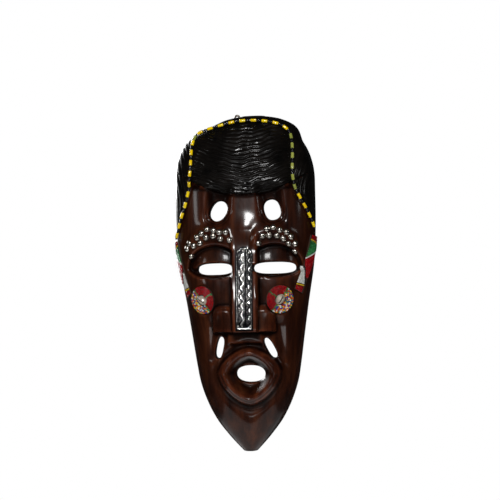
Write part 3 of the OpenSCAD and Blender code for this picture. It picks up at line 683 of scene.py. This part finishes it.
def buildHair():
    c = hairSet
    ts = np.linspace(0, 1, c["rows"])
    zs = c["foot"] + (carving["height"] - c["foot"]) * (0.25 * np.sin(ts * math.pi / 2) + 0.75 * ts)
    x, z, _ = woodGrid(zs, c["columns"])
    mask = hairMask(x, z)
    cells = np.maximum.reduce([mask[:-1, :-1], mask[1:, :-1], mask[:-1, 1:], mask[1:, 1:]])
    keep = cells > 0
    roll = np.clip(mask / 4.5, 0, 1)
    depth = faceDepth(x, z) + hairRidges(x, z) * smooth(mask / 3)
    depth = depth - c["sunk"] * (1 - np.sqrt(np.maximum(1 - (1 - roll) ** 2, 0)))
    under = frontDepth(x, z) - woodSet["hairInlay"] * smooth(hairRise(x, z) / 3) - c["thick"]
    front = np.stack([x, -depth, z], -1).reshape(-1, 3)
    backPoints = np.stack([x, -np.minimum(under, depth - 0.5), z], -1).reshape(-1, 3)
    faces = slabFaces(keep)
    points = np.concatenate([front, backPoints])
    used = np.unique([v for f in faces for v in f])
    remap = np.full(len(points), -1)
    remap[used] = np.arange(len(used))
    faces = [tuple(int(remap[v]) for v in f) for f in faces]
    piece = makePiece("carvedHair", points[used], faces, hairBlack, sharpAngle=60)
    handOver(piece, "hair", "carved_body")


buildHair()
print("hair built")


# Geometry Nodes: beads threaded on places with a direction, and domed tack heads
def nodeTree(name, sockets):
    tree = bpy.data.node_groups.new(name, "GeometryNodeTree")
    tree.interface.new_socket("Geometry", in_out="INPUT", socket_type="NodeSocketGeometry")
    for label, kind, value in sockets:
        socket = tree.interface.new_socket(label, in_out="INPUT", socket_type="NodeSocket" + kind)
        if value is not None:
            socket.default_value = value
    tree.interface.new_socket("Geometry", in_out="OUTPUT", socket_type="NodeSocketGeometry")
    return tree, tree.nodes.new("NodeGroupInput").outputs


def finishTree(tree, inputs, shape):
    # stands one shape on every place, turned to its direction, each a little different in size
    along = addNode(tree, "GeometryNodeInputNamedAttribute", {"Name": "along"}, data_type="FLOAT_VECTOR")
    facing = addNode(tree, "FunctionNodeAlignRotationToVector", {"Vector": along.outputs["Attribute"]},
                     axis="Z")
    low = sums(tree, "SUBTRACT", 1.0, inputs["Size Variation"])
    high = sums(tree, "ADD", 1.0, inputs["Size Variation"])
    size = addNode(tree, "FunctionNodeRandomValue", {"Seed": inputs["Seed"]}, data_type="FLOAT")
    for name, value in (("Min", low), ("Max", high)):
        tree.links.new(value, live(size.inputs, name))
    stood = addNode(tree, "GeometryNodeInstanceOnPoints",
                    {"Points": inputs["Geometry"], "Instance": shape, "Rotation": facing.outputs[0]})
    tree.links.new(live(size.outputs), stood.inputs["Scale"])
    tone = addNode(tree, "FunctionNodeRandomValue", {"Seed": sums(tree, "ADD", inputs["Seed"], 7.0)},
                   data_type="FLOAT")
    toned = addNode(tree, "GeometryNodeStoreNamedAttribute",
                    {"Geometry": stood.outputs[0], "Name": "tone"}, data_type="FLOAT", domain="INSTANCE")
    tree.links.new(live(tone.outputs), live(toned.inputs, "Value"))
    real = addNode(tree, "GeometryNodeRealizeInstances", {"Geometry": toned.outputs[0]})
    rounded = addNode(tree, "GeometryNodeSetShadeSmooth", {"Geometry": real.outputs[0]})
    done = addNode(tree, "GeometryNodeSetMaterial", {"Geometry": rounded.outputs[0],
                                                    "Material": inputs["Material"]})
    out = tree.nodes.new("NodeGroupOutput")
    tree.links.new(done.outputs[0], out.inputs[0])
    return tree


def strungBeadTree():
    tree, inputs = nodeTree("strungBeads", (
        ("Bead Width", "Float", 0.0017), ("Bead Length", "Float", 0.0014), ("Bore", "Float", 0.0007),
        ("Sides", "Int", 8), ("Edge Round", "Float", 0.0004), ("Edge Steps", "Int", 2),
        ("Size Variation", "Float", 0.06), ("Seed", "Int", 3), ("Material", "Material", None)))
    wall = sums(tree, "MULTIPLY", sums(tree, "SUBTRACT", inputs["Bead Width"], inputs["Bore"]), 0.5)
    middle = sums(tree, "MULTIPLY", sums(tree, "ADD", inputs["Bead Width"], inputs["Bore"]), 0.25)
    hoop = addNode(tree, "GeometryNodeCurvePrimitiveCircle", {"Resolution": inputs["Sides"],
                                                             "Radius": middle}, mode="RADIUS")
    section = addNode(tree, "GeometryNodeCurvePrimitiveQuadrilateral", {
        "Width": wall, "Height": inputs["Bead Length"]}, mode="RECTANGLE")
    soft = addNode(tree, "GeometryNodeFilletCurve", {
        "Curve": section.outputs[0], "Count": inputs["Edge Steps"], "Radius": inputs["Edge Round"],
        "Limit Radius": True}, mode="POLY")
    bead = addNode(tree, "GeometryNodeCurveToMesh", {"Curve": hoop.outputs[0],
                                                    "Profile Curve": soft.outputs[0]})
    return finishTree(tree, inputs, bead.outputs[0])


def tackTree():
    tree, inputs = nodeTree("domedTacks", (
        ("Head Width", "Float", 0.0068), ("Head Height", "Float", 0.003), ("Segments", "Int", 28),
        ("Rings", "Int", 14), ("Size Variation", "Float", 0.03), ("Seed", "Int", 5),
        ("Material", "Material", None)))
    ball = addNode(tree, "GeometryNodeMeshUVSphere", {"Segments": inputs["Segments"],
                                                     "Rings": inputs["Rings"], "Radius": 1.0})
    # keeps the upper half and draws its lower edge in to a flat rim
    place = tree.nodes.new("GeometryNodeInputPosition")
    parts = addNode(tree, "ShaderNodeSeparateXYZ", {0: place.outputs[0]})
    up = sums(tree, "MAXIMUM", parts.outputs[2], 0.0)
    half = sums(tree, "MULTIPLY", inputs["Head Width"], 0.5)
    flat = addNode(tree, "ShaderNodeCombineXYZ", {0: sums(tree, "MULTIPLY", parts.outputs[0], half),
                                                 1: sums(tree, "MULTIPLY", parts.outputs[1], half),
                                                 2: sums(tree, "MULTIPLY", up, inputs["Head Height"])})
    head = addNode(tree, "GeometryNodeSetPosition", {"Geometry": ball.outputs[0],
                                                    "Position": flat.outputs[0]})
    return finishTree(tree, inputs, head.outputs[0])


beadTree = strungBeadTree()
domeTree = tackTree()


def grow(name, tree, points, along, material, slot, nodes, **values):
    # runs a tree over a set of places and keeps the result as a plain mesh
    mesh = bpy.data.meshes.new(name + "Places")
    mesh.from_pydata(toRow(points).tolist(), [], [])
    layer = mesh.attributes.new("along", "FLOAT_VECTOR", "POINT")
    layer.data.foreach_set("vector", np.asarray(along, np.float32).ravel())
    host = bpy.data.objects.new(name + "Host", mesh)
    scene.collection.objects.link(host)
    modifier = host.modifiers.new("nodes", "NODES")
    modifier.node_group = tree
    values["Material"] = material
    for item in tree.interface.items_tree:
        if item.in_out == "INPUT" and item.name in values:
            modifier[item.identifier] = values[item.name]
    made = applied(host)
    bpy.data.objects.remove(host)
    piece = bpy.data.objects.new(name, made)
    scene.collection.objects.link(piece)
    handOver(piece, slot, *nodes)


def glassBead(name, stops):
    material, tree, shader = newMaterial(name)
    tone = ramp(tree, attribute(tree, "tone"), stops, "CONSTANT" if len(stops) > 3 else "LINEAR")
    swirl = ramp(tree, noise(tree, 900.0, 2.0), [(0.3, grey(0.72)), (0.7, grey(1.0))])
    plug(tree, shader, {"Base Color": mixColour(tree, 1.0, tone, swirl, "MULTIPLY"), "Roughness": 0.16,
                        "Specular IOR Level": 0.3, "Coat Weight": 0.35, "Coat Roughness": 0.08})
    return material


beadColours = {
    "yellow": [(0.0, (0.90, 0.58, 0.0)), (1.0, (1.0, 0.74, 0.01))],
    "olive": [(0.0, (0.26, 0.30, 0.05)), (1.0, (0.40, 0.42, 0.09))],
    "black": [(0.0, (0.004, 0.004, 0.006)), (1.0, (0.02, 0.02, 0.026))],
    "red": [(0.0, (0.20, 0.001, 0.003)), (1.0, (0.40, 0.003, 0.007))],
    "green": [(0.0, (0.02, 0.14, 0.04)), (1.0, (0.05, 0.30, 0.09))],
    "white": [(0.0, (0.55, 0.55, 0.52)), (1.0, (0.85, 0.85, 0.82))],
    "gold": [(0.0, (0.62, 0.36, 0.01)), (1.0, (0.85, 0.55, 0.03))],
    "mixed": [(0.0, (0.02, 0.05, 0.30)), (0.18, (0.80, 0.50, 0.02)), (0.36, (0.70, 0.16, 0.02)),
              (0.54, (0.38, 0.01, 0.015)), (0.68, (0.78, 0.78, 0.75)), (0.84, (0.03, 0.22, 0.12))],
}
beadPaint = {key: glassBead(key + "Glass", stops) for key, stops in beadColours.items()}

# The crown string: long tube beads with small black spacers between them
stringSet = {"tubeWidth": 3.6, "tubeLength": 6.8, "tubeGap": 0.5, "spacerWidth": 2.6, "spacerLength": 1.6,
             "skin": -0.4, "rest": 2.5, "cornerAir": 0.6, "tubes": 30, "firstOlive": 10,
             "olives": (20, 26)}   # from the first of the row on the right to past its last
tubeShape = {"Bore": 0.0011, "Sides": 20, "Edge Round": 0.0009, "Edge Steps": 4,
             "Size Variation": 0.035, "Seed": 11}
spacerShape = {"Bore": 0.001, "Sides": 12, "Edge Round": 0.0005, "Edge Steps": 3,
               "Size Variation": 0.05, "Seed": 4}
stringRoute = [
    (-80.6, 254), (-78, 263), (-73.3, 278), (-67.8, 293), (-63, 310), (-60, 326), (-58.7, 340),
    (-58.3, 354), (-57, 366), (-52.5, 376), (-43, 380.5), (-30, 384), (-17, 387.5), (-4, 390),
    (10, 390.5), (24, 389.5), (36, 387.5), (47, 384), (55.5, 376.5), (58.5, 366), (59.5, 352),
    (59.3, 338), (59, 325), (61.5, 312), (67, 299.5), (73, 287.5), (78, 275), (82, 263)]


def stringLine(fine=4):
    q = np.array(stringRoute, float)
    n = len(q) - 1
    line = []
    for k in range(fine * n + 1):
        i = min(k // fine, n - 1)
        u = k / fine - i
        a, b, c, d = q[max(i - 1, 0)], q[i], q[i + 1], q[min(i + 2, n)]
        line.append(0.5 * (2 * b + (c - a) * u + (2 * a - 5 * b + 4 * c - d) * u * u
                           + (3 * b - a - 3 * c + d) * u ** 3))
    line = np.array(line)
    x, z = line[:, 0], line[:, 1]
    r = stringSet["rest"]
    depth = np.max([faceDepth(x + r * i, z + r * j) for i in (-1, 0, 1) for j in (-1, 0, 1)], axis=0)
    lift = stringSet["tubeWidth"] / 2 + stringSet["skin"]
    return np.stack([x, -depth, z], -1) + outward(x, z, 4) * lift


def placer(points):
    at = np.concatenate([[0], np.cumsum(np.linalg.norm(np.diff(points, axis=0), axis=1))])
    return at[-1], lambda d: np.stack([np.interp(d, at, points[:, k]) for k in range(3)], -1)


def spacersAfter(i):
    first = stringSet["firstOlive"]
    return {first: 0, first + 1: 1}.get(i, 3)


def buildString():
    c = stringSet
    total, along = placer(stringLine())
    before = [1]
    for i in range(1, c["tubes"]):
        before.append(before[-1] + spacersAfter(i) + (c["cornerAir"] if spacersAfter(i) == 1 else 0))
    pitch = c["tubeLength"] + c["tubeGap"]
    room = (total - c["tubes"] * pitch) / (before[-1] + 1)
    ends = [(along(i * pitch + before[i] * room + c["tubeGap"] / 2),
             along(i * pitch + before[i] * room + c["tubeGap"] / 2 + c["tubeLength"]))
            for i in range(c["tubes"])]
    groups = {"yellow": [], "olive": []}
    for i, (a, b) in enumerate(ends):
        olive = i == c["firstOlive"] or i in range(*c["olives"])
        groups["olive" if olive else "yellow"].append((a, b))
    for colour, pairs in groups.items():
        a = np.array([p[0] for p in pairs])
        b = np.array([p[1] for p in pairs])
        grow("crownBeads" + colour.capitalize(), beadTree, (a + b) / 2, b - a, beadPaint[colour],
             colour + "_bead", ["crown_beads_" + colour],
             **{"Bead Width": c["tubeWidth"] / 1000, "Bead Length": c["tubeLength"] / 1000},
             **tubeShape)
    middles = []
    headings = []
    runs = [(along(0.0), ends[0][0], 1)]
    runs += [(ends[i - 1][1], ends[i][0], spacersAfter(i)) for i in range(1, c["tubes"])]
    runs += [(ends[-1][1], along(total), 1)]
    for a, b, count in runs:
        for k in range(count):
            middles.append(mix(a, b, (k + 0.5) / count))
            headings.append(b - a)
    grow("crownBeadsBlack", beadTree, np.array(middles), np.array(headings), beadPaint["black"],
         "black_bead", ["crown_beads_black"],
         **{"Bead Width": c["spacerWidth"] / 1000, "Bead Length": c["spacerLength"] / 1000},
         **spacerShape)


buildString()
print("crown string beaded")


# Brow tacks: hammered silver domes
tackPlaces = {
    "left": ((-40, 248), [(-26.5, -6), (-23.5, 0), (-13.5, 6.5), (-8, 11), (-1, 15.5), (6.5, 14),
                          (13.5, 11.5), (21, 11.5), (-22, -15), (-18, -3), (-10, 0), (-2.5, 6),
                          (6, 7.5), (14.5, 4), (25, 2)]),
    "right": ((40, 248), [(-21.5, -2.5), (-16.5, 6), (-11.5, 14), (-9, 6.5), (-4, 15.5), (0, 6),
                          (3.5, 12.5), (11, 10), (7, 2.5), (16, 4.5), (13, -3.5), (20.5, -3.5),
                          (20, -12.5)]),
}
tackSet = {"width": 7.6, "height": 3.4, "seat": 0.15}


def tackMetal():
    material, tree, shader = newMaterial("hammeredSilver")
    tarnish = noise(tree, 300.0, 4.0, 0.6)
    plug(tree, shader, {
        "Base Color": ramp(tree, tarnish, [(0.36, (0.30, 0.27, 0.23)), (0.62, (0.72, 0.69, 0.63))]),
        "Roughness": ramp(tree, tarnish, [(0.35, grey(0.34)), (0.7, grey(0.14))]), "Metallic": 1.0})
    bump(tree, shader, noise(tree, 420.0, 2.0, 0.4), 0.35, 0.0006)
    return material


def buildTacks():
    metal = tackMetal()
    for side, (middle, places) in tackPlaces.items():
        p = np.array(places, float) + np.array(middle, float)
        n = outward(p[:, 0], p[:, 1], 3.0)
        grow("browTacks" + side.capitalize(), domeTree, onWood(p[:, 0], p[:, 1]) + n * tackSet["seat"], n,
             metal, "tack_metal", ["brow_tacks_" + side],
             **{"Head Width": tackSet["width"] / 1000, "Head Height": tackSet["height"] / 1000,
                "Size Variation": 0.03, "Seed": 9})


buildTacks()
print("brow tacks set")


# Seed beads on the rosettes, in rings sewn round each shell
fieldSet = {"pitch": 1.5, "row": 1.62, "width": 1.6, "length": 1.35, "spoke": 0.85, "rim": 15.6,
            "core": 3.0, "shellGap": 1.0, "sewn": 0.55, "dome": 0.9, "domeReach": 16.5}
seedShape = {"Bore": 0.0005, "Sides": 8, "Edge Round": 0.00042, "Edge Steps": 1, "Size Variation": 0.07}
rosetteTurns = {"left": {"red": (-55, 130), "spoke": 25, "shell": -38},
                "right": {"red": (55, 235), "spoke": 145, "shell": 52}}
shellSet = {"length": 13.0, "width": 9.6}


def seatFrame(place):
    o, n = seatPlane(place)
    u = np.cross([0, 0, 1], n)
    u /= np.linalg.norm(u)
    return o - n * rosetteSet["seat"], u, np.cross(n, u), n


def insideShell(a, b, turn, grown):
    t = math.radians(turn)
    u = a * math.cos(t) + b * math.sin(t)
    v = b * math.cos(t) - a * math.sin(t)
    half = (shellSet["length"] - shellSet["width"]) / 2
    return math.hypot(max(abs(u) - half, 0), v) < shellSet["width"] / 2 + grown


def spokeDistance(a, b, angle):
    t = math.radians(angle)
    if a * math.cos(t) + b * math.sin(t) < 0:
        return 99.0
    return abs(b * math.cos(t) - a * math.sin(t))


def seedBeads(name, places, colour, nodes, seed):
    points = np.array([p[0] for p in places])
    along = np.array([p[1] for p in places])
    c = fieldSet
    grow(name, beadTree, points, along, beadPaint[colour],
                {"gold": "yellow"}.get(colour, colour) + "_bead", nodes,
         **{"Bead Width": c["width"] / 1000, "Bead Length": c["length"] / 1000, "Seed": seed},
         **seedShape)


def buildRosettes():
    for side, place in zip(("left", "right"), rosettePlaces):
        o, u, v, n = seatFrame(place)
        turns = rosetteTurns[side]
        low, high = turns["red"]
        fields = {"red": [], "green": [], "mixed": []}
        lift = rosetteSet["leather"] + rosetteSet["beads"] * fieldSet["sewn"]
        r = fieldSet["rim"]
        ring = 0
        while r > fieldSet["core"]:
            count = int(round(2 * math.pi * r / fieldSet["pitch"]))
            for k in range(count):
                angle = 2 * math.pi * (k + 0.5 * (ring % 2)) / count
                a, b = r * math.cos(angle), r * math.sin(angle)
                if insideShell(a, b, turns["shell"], fieldSet["shellGap"]):
                    continue
                degrees = (math.degrees(angle) - low) % 360
                near = min(spokeDistance(a, b, w) for w in (low, turns["spoke"], high))
                colour = "green" if near < fieldSet["spoke"] else (
                    "red" if degrees < high - low else "mixed")
                dome = fieldSet["dome"] * (1 - (r / fieldSet["domeReach"]) ** 2)
                point = o + u * a + v * b + n * (lift + dome)
                fields[colour].append((point, v * math.cos(angle) - u * math.sin(angle)))
            r -= fieldSet["row"]
            ring += 1
        for colour, places in fields.items():
            seedBeads("rosette" + colour.capitalize() + side.capitalize(), places, colour,
                      ["rosette_" + colour + "_" + side], 20 + len(places))


buildRosettes()
print("rosettes beaded")

# Beaded side bands: corners are turn from the middle to the rim, and height
bandFields = [
    ("red", [(0.785, 254.5), (0.94, 253.5), (0.935, 245.6), (0.763, 250.5)]),
    ("gold", [(0.761, 250.1), (0.933, 245.2), (0.93, 243.8), (0.757, 248.7)]),
    ("green", [(0.755, 248.3), (0.928, 243.4), (0.895, 236.2), (0.672, 228.6)]),
    ("white", [(0.67, 228.2), (0.893, 235.8), (0.886, 234.1), (0.664, 226.5)]),
    ("red", [(0.662, 226.1), (0.884, 233.7), (0.738, 203.5), (0.7, 204.5)]),
    ("white", [(0.635, 217), (0.655, 217), (0.685, 197.2), (0.57, 199.5)]),
    ("gold", [(0.568, 198.9), (0.685, 196.6), (0.682, 194.4), (0.562, 196.7)]),
    ("red", [(0.56, 196.1), (0.68, 193.8), (0.65, 187.5), (0.56, 191.9)]),
]
bandSet = {"leftTurn": 0.17, "leftDrop": 3.0, "skin": 0.2, "leather": 1.2, "sewn": 0.1, "samples": 25,
           "reach": 0.3, "edgeBeads": 12, "edgeStep": 0.006}
whiteEdge = [(0.667, 218)] * 2 + [(0.694, 198.5)] * 2   # where black beads edge the white wedge


def onSide(corners, side):
    if side == "right":
        return np.array(corners, float)
    c = bandSet
    return np.array([(-t - c["leftTurn"] * (1 - t), z - c["leftDrop"])
                     for t, z in (corners[k] for k in (1, 0, 3, 2))], float)


def bandPoint(turn, z, lift):
    x = centreX(z) + halfWidth(z) * np.sin(turn * math.pi / 2)
    return onWood(x, z) + outward(x, z) * lift


def buildBands():
    c = fieldSet
    lift = bandSet["skin"] + bandSet["leather"] + bandSet["sewn"] + rosetteSet["beads"] * 0.5
    for side in ("left", "right"):
        fields = {"red": [], "gold": [], "green": [], "white": [], "black": []}
        for colour, corners in bandFields:
            q = onSide(corners, side)
            top = bandPoint(q[:2].mean(0)[0], q[:2].mean(0)[1], lift)
            foot = bandPoint(q[2:].mean(0)[0], q[2:].mean(0)[1], lift)
            rows = max(1, int(round(np.linalg.norm(top - foot) / c["row"])))
            for j in range(rows):
                w = (j + 0.5) / rows
                left, right = mix(q[0], q[3], w), mix(q[1], q[2], w)
                t = np.linspace(0, 1, bandSet["samples"])[:, None]
                line = left * (1 - t) + right * t
                total, along = placer(bandPoint(line[:, 0], line[:, 1], lift))
                count = max(1, int(round(total / c["pitch"])))
                d = (np.arange(count) + 0.5) * total / count
                reach = bandSet["reach"]
                heading = along(np.minimum(d + reach, total)) - along(np.maximum(d - reach, 0))
                fields[colour] += list(zip(along(d), heading))
        edge = onSide(whiteEdge, side)
        last = bandSet["edgeBeads"] - 1
        for k in range(last + 1):
            p = mix(edge[0], edge[2], k / last) + np.array([bandSet["edgeStep"] * (k % 2), 0])
            fields["black"].append((bandPoint(p[0], p[1], lift), np.array([1.0, 0.3, 0.2])))
        for colour, places in fields.items():
            node = {"gold": "band_yellow_", "black": None}.get(colour, "band_" + colour + "_")
            seedBeads("band" + colour.capitalize() + side.capitalize(), places, colour,
                      [node + side] if node else [], 40 + len(places))


buildBands()
print("bands beaded")


# Metals, leather, thread and shell
def paint(name, stops, scale, roughness, metallic=0.0, dent=0.3, stretch=(1, 1, 1)):
    material, tree, shader = newMaterial(name)
    mottle = noise(tree, scale, 5.0, 0.6, stretch)
    gloss = ramp(tree, mottle, [(0.3, grey(roughness + 0.14)), (0.7, grey(roughness))])
    plug(tree, shader, {"Base Color": ramp(tree, mottle, stops), "Roughness": gloss,
                        "Metallic": metallic})
    bump(tree, shader, noise(tree, scale * 2.3, 3.0, 0.5, stretch), dent, 0.0005)
    return material


strapMetal = paint("wornStrapMetal", [(0.3, (0.10, 0.085, 0.07)), (0.7, (0.42, 0.39, 0.35))], 260.0,
                   0.34, 1.0, 0.25, (0.3, 1, 1))
screwBrass = paint("screwBrass", [(0.3, (0.30, 0.19, 0.06)), (0.7, (0.72, 0.52, 0.20))], 420.0, 0.28, 1.0)
ringWire = paint("ringWire", [(0.3, (0.05, 0.042, 0.035)), (0.7, (0.20, 0.17, 0.14))], 380.0, 0.30, 1.0)
pinMetal = paint("pinMetal", [(0.3, (0.16, 0.15, 0.13)), (0.7, (0.60, 0.58, 0.54))], 700.0, 0.24, 1.0)
leather = paint("darkLeather", [(0.3, (0.012, 0.006, 0.004)), (0.7, (0.050, 0.024, 0.012))], 300.0, 0.55,
                0.0, 0.5)
thread = paint("waxedThread", [(0.3, (0.010, 0.010, 0.012)), (0.7, (0.035, 0.032, 0.030))], 900.0, 0.6,
               0.0, 0.5)

for nodeName, material in (("hanger_strap", strapMetal), ("hanger_screws", screwBrass),
                           ("hanger_ring", ringWire), ("crown_thread", thread),
                           ("band_leather_left", leather), ("band_leather_right", leather),
                           ("rosette_leather_left", leather), ("rosette_leather_right", leather)):
    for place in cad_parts[nodeName].material_slots:
        place.material = material


# The embossed strip down the nose, held by three pins
stripSet = {"width": 20.4, "foot": 146.0, "top": 242.0, "gap": 0.5, "thick": 0.9, "across": 60,
            "along": 300, "pinWidth": 2.8, "pinHeight": 0.9}
chasedLines = [(-3.6, 0.0, 11.0), (5.4, 1.9, 9.6)]   # middle, start and length of each wavy line


def chasing(u, z):
    c = stripSet
    r = c["width"] / 2
    up = np.maximum(z - (c["top"] - r), 0)
    edge = np.minimum(r - np.hypot(u, up), z - c["foot"])
    inside = smooth((edge - 3.0) / 0.8)
    height = (0.30 * hill(edge - 2.0, 0.35) - 0.5 * hill(edge - 1.1, 0.5) - 0.3 * hill(edge - 2.9, 0.35)
              - 0.4 * smooth((1.2 - edge) / 0.8))
    height = height - 0.42 * hill(u - 1.7, 0.45) * inside
    for middle, start, length in chasedLines:
        turn = 2 * math.pi * z / length + start + 0.7 * np.sin(z * 0.07)
        line = middle + 1.5 * np.sin(turn)
        broken = smooth((np.abs(np.cos(turn / 2 + 0.6)) - 0.12) / 0.2)
        height = height - 0.52 * hill(u - line, 0.6) * inside * broken
        height = height + 0.25 * hill(u - line - 1.4, 0.6) * inside * broken
    return height + 0.06 * np.sin(u * 2.3 + z * 0.9) * np.sin(z * 1.7 - u) * inside


def tinMaterial():
    material, tree, shader = newMaterial("chasedTin")
    soot = noise(tree, 260.0, 5.0, 0.65, (1, 1, 0.4))
    level = sums(tree, "ADD", attribute(tree, "chased"), sums(tree, "MULTIPLY", soot, 0.55))
    plug(tree, shader, {
        "Base Color": ramp(tree, level, [(0.74, (0.002, 0.002, 0.003)), (0.84, (0.06, 0.058, 0.056)),
                                         (0.96, (0.85, 0.84, 0.82))]),
        "Roughness": ramp(tree, level, [(0.5, grey(0.42)), (0.9, grey(0.17))]), "Metallic": 0.9})
    bump(tree, shader, noise(tree, 520.0, 3.0, 0.5), 0.55, 0.0007)
    return material


def buildStrip():
    c = stripSet
    r = c["width"] / 2
    t = np.linspace(0, 1, c["along"])
    straight = (c["top"] - r - c["foot"]) / (c["top"] - c["foot"])
    turn = np.clip((t - straight) / (1 - straight), 0, 1) * math.pi / 2
    zs = np.where(t < straight, c["foot"] + (c["top"] - c["foot"]) * t, c["top"] - r + r * np.sin(turn))
    half = r * np.maximum(np.cos(turn), 0.06)
    u = half[:, None] * np.linspace(-1, 1, c["across"])[None, :]
    z = np.repeat(zs[:, None], c["across"], 1)
    n = outward(np.full_like(z, carving["noseX"]), z, 3)
    base = onWood(carving["noseX"] + u, z)
    height = chasing(u, z)
    front = (base + n * (c["gap"] + c["thick"] + height)[..., None]).reshape(-1, 3)
    under = (base + n * c["gap"]).reshape(-1, 3)
    faces = slabFaces(np.ones((c["along"] - 1, c["across"] - 1), bool))
    chased = np.clip(0.5 + height.ravel() * 1.1, 0, 1)
    piece = makePiece("noseStrip", np.concatenate([front, under]), faces, tinMaterial(),
                      attributes={"chased": np.concatenate([chased, chased])}, sharpAngle=60)
    handOver(piece, "nose_metal", "nose_strip")
    pins = np.array([(-1, 150.5), (1, 150.5), (0, 238.5)])
    x = carving["noseX"] + pins[:, 0] * (r - 3)
    n = outward(x, pins[:, 1], 3)
    feet = onWood(x, pins[:, 1]) + n * (c["gap"] + c["thick"])
    grow("nosePins", domeTree, feet, n, pinMetal, "pin_metal", ["nose_strip_pins"],
         **{"Head Width": c["pinWidth"] / 1000, "Head Height": c["pinHeight"] / 1000, "Segments": 20,
            "Rings": 10, "Seed": 2})


buildStrip()
print("nose strip chased and pinned")


# Cowrie shells: a domed back pierced by a toothed slit with rolled lips
cowrieSet = {"seat": 0.2, "dome": 4.6, "flat": 0.8, "slit": 0.75, "teeth": 0.95, "lips": 0.5,
             "steps": (90, 70)}


def shellMaterial():
    material, tree, shader = newMaterial("oldShell")
    mottle = ramp(tree, noise(tree, 330.0, 4.0, 0.6),
                  [(0.3, (0.24, 0.19, 0.14)), (0.62, (0.52, 0.46, 0.38))])
    # painted shade: the slit is coloured near-black for the dark inside of the shell
    colour = mixColour(tree, attribute(tree, "slit"), mottle, grey(0.012))
    plug(tree, shader, {"Base Color": colour, "Roughness": 0.3, "Coat Weight": 0.3})
    bump(tree, shader, noise(tree, 620.0, 2.0, 0.4), 0.25, 0.0004)
    return material


def buildCowries():
    c = cowrieSet
    ivory = shellMaterial()
    for side, place in zip(("left", "right"), rosettePlaces):
        o, u, v, n = seatFrame(place)
        turn = math.radians(rosetteTurns[side]["shell"])
        long = u * math.cos(turn) + v * math.sin(turn)
        wide = v * math.cos(turn) - u * math.sin(turn)
        s, t = np.meshgrid(np.linspace(-1, 1, c["steps"][0]), np.linspace(-1, 1, c["steps"][1]))
        a = s * np.sqrt(1 - t * t / 2)
        b = t * np.sqrt(1 - s * s / 2)
        r2 = np.minimum(a * a + b * b, 1)
        x = a * shellSet["length"] / 2
        y = b * shellSet["width"] / 2 * (1 + 0.10 * a)
        teeth = 0.26 * np.sin(2 * math.pi * x / c["teeth"])
        gap = c["slit"] * (1 + teeth) * smooth((0.86 - np.abs(a)) / 0.2)
        inside = smooth((gap - np.abs(y - 0.25 * np.sin(x * 0.5))) / 0.3 + 0.5) * (gap > 0.05)
        lips = c["lips"] * hill(np.abs(y) - 1.5, 0.9) * smooth((0.95 - np.abs(a)) / 0.3)
        lift = (c["flat"] + c["dome"] * np.sqrt(1 - r2) ** 0.9 * (1 - 0.12 * a) + lips - 1.9 * inside)
        ground = o + n * (rosetteSet["leather"] + c["seat"])
        base = ground + long * x[..., None] + wide * y[..., None]
        top = (base + n * lift[..., None]).reshape(-1, 3)
        base = base.reshape(-1, 3)
        faces = slabFaces(np.ones((s.shape[0] - 1, s.shape[1] - 1), bool))
        # painted shade: this attribute marks the slit, which the shell material colours near-black
        slit = np.concatenate([inside.ravel(), np.zeros(len(top))])
        piece = makePiece("cowrie" + side.capitalize(), np.concatenate([top, base]), faces, ivory,
                          attributes={"slit": slit}, sharpAngle=70)
        handOver(piece, "cowrie", "cowrie_" + side)


buildCowries()
print("cowries set")


# Floor, lights and sky
stageSet = {"floorZ": -0.78, "floorSize": 1.2, "floorColour": 0.8, "floorGlow": 0.25, "sky": 1.0,
            "skyFill": 0.015}


def makeStage():
    mesh = bpy.data.meshes.new("floor")
    h = stageSet["floorSize"] / 2
    z = stageSet["floorZ"]
    mesh.from_pydata([(-h, -h, z), (h, -h, z), (h, h, z), (-h, h, z)], [], [(0, 1, 2, 3)])
    floor = bpy.data.objects.new("floor", mesh)
    scene.collection.objects.link(floor)
    material, tree, shader = newMaterial("paleFloor")
    plug(tree, shader, {"Base Color": (*grey(stageSet["floorColour"]), 1), "Roughness": 0.6,
                        "Emission Color": (1, 1, 1, 1), "Emission Strength": stageSet["floorGlow"]})
    mesh.materials.append(material)
    world = bpy.data.worlds.new("sky")
    scene.world = world
    world.use_nodes = True
    tree = world.node_tree
    tree.nodes.clear()
    seen, fill = (addNode(tree, "ShaderNodeBackground", {"Color": (1, 1, 1, 1), "Strength": stageSet[key]})
                  for key in ("sky", "skyFill"))
    path = tree.nodes.new("ShaderNodeLightPath")
    both = addNode(tree, "ShaderNodeMixShader", {0: path.outputs["Is Camera Ray"], 1: fill.outputs[0],
                                                 2: seen.outputs[0]})
    addNode(tree, "ShaderNodeOutputWorld", {0: both.outputs[0]})


lampSet = [
    {"name": "keyBox", "at": (0.06, -1.35, 0.44), "size": (0.30, 0.24), "power": 17.0},
    {"name": "leftBox", "at": (-1.1, -0.75, 0.1), "size": (0.16, 0.30), "power": 1.2},
    {"name": "rightEdge", "at": (1.25, -0.45, 0.15), "size": (0.16, 0.30), "power": 1.0},
    {"name": "lowFill", "at": (0.1, -1.4, -0.75), "size": (0.5, 0.2), "power": 1.5},
    {"name": "backBox", "at": (-0.8, 1.2, 0.35), "size": (0.7, 0.7), "power": 26.0},
]


def makeLamps():
    aim = Vector(cameraSet["aim"])
    for lamp in lampSet:
        data = bpy.data.lights.new(lamp["name"], "AREA")
        data.shape = "RECTANGLE"
        data.size, data.size_y = lamp["size"]
        data.energy = lamp["power"]
        light = bpy.data.objects.new(lamp["name"], data)
        light.location = lamp["at"]
        light.rotation_euler = (aim - Vector(lamp["at"])).to_track_quat("-Z", "Y").to_euler()
        scene.collection.objects.link(light)


makeStage()
makeLamps()
print("stage and lamps set")
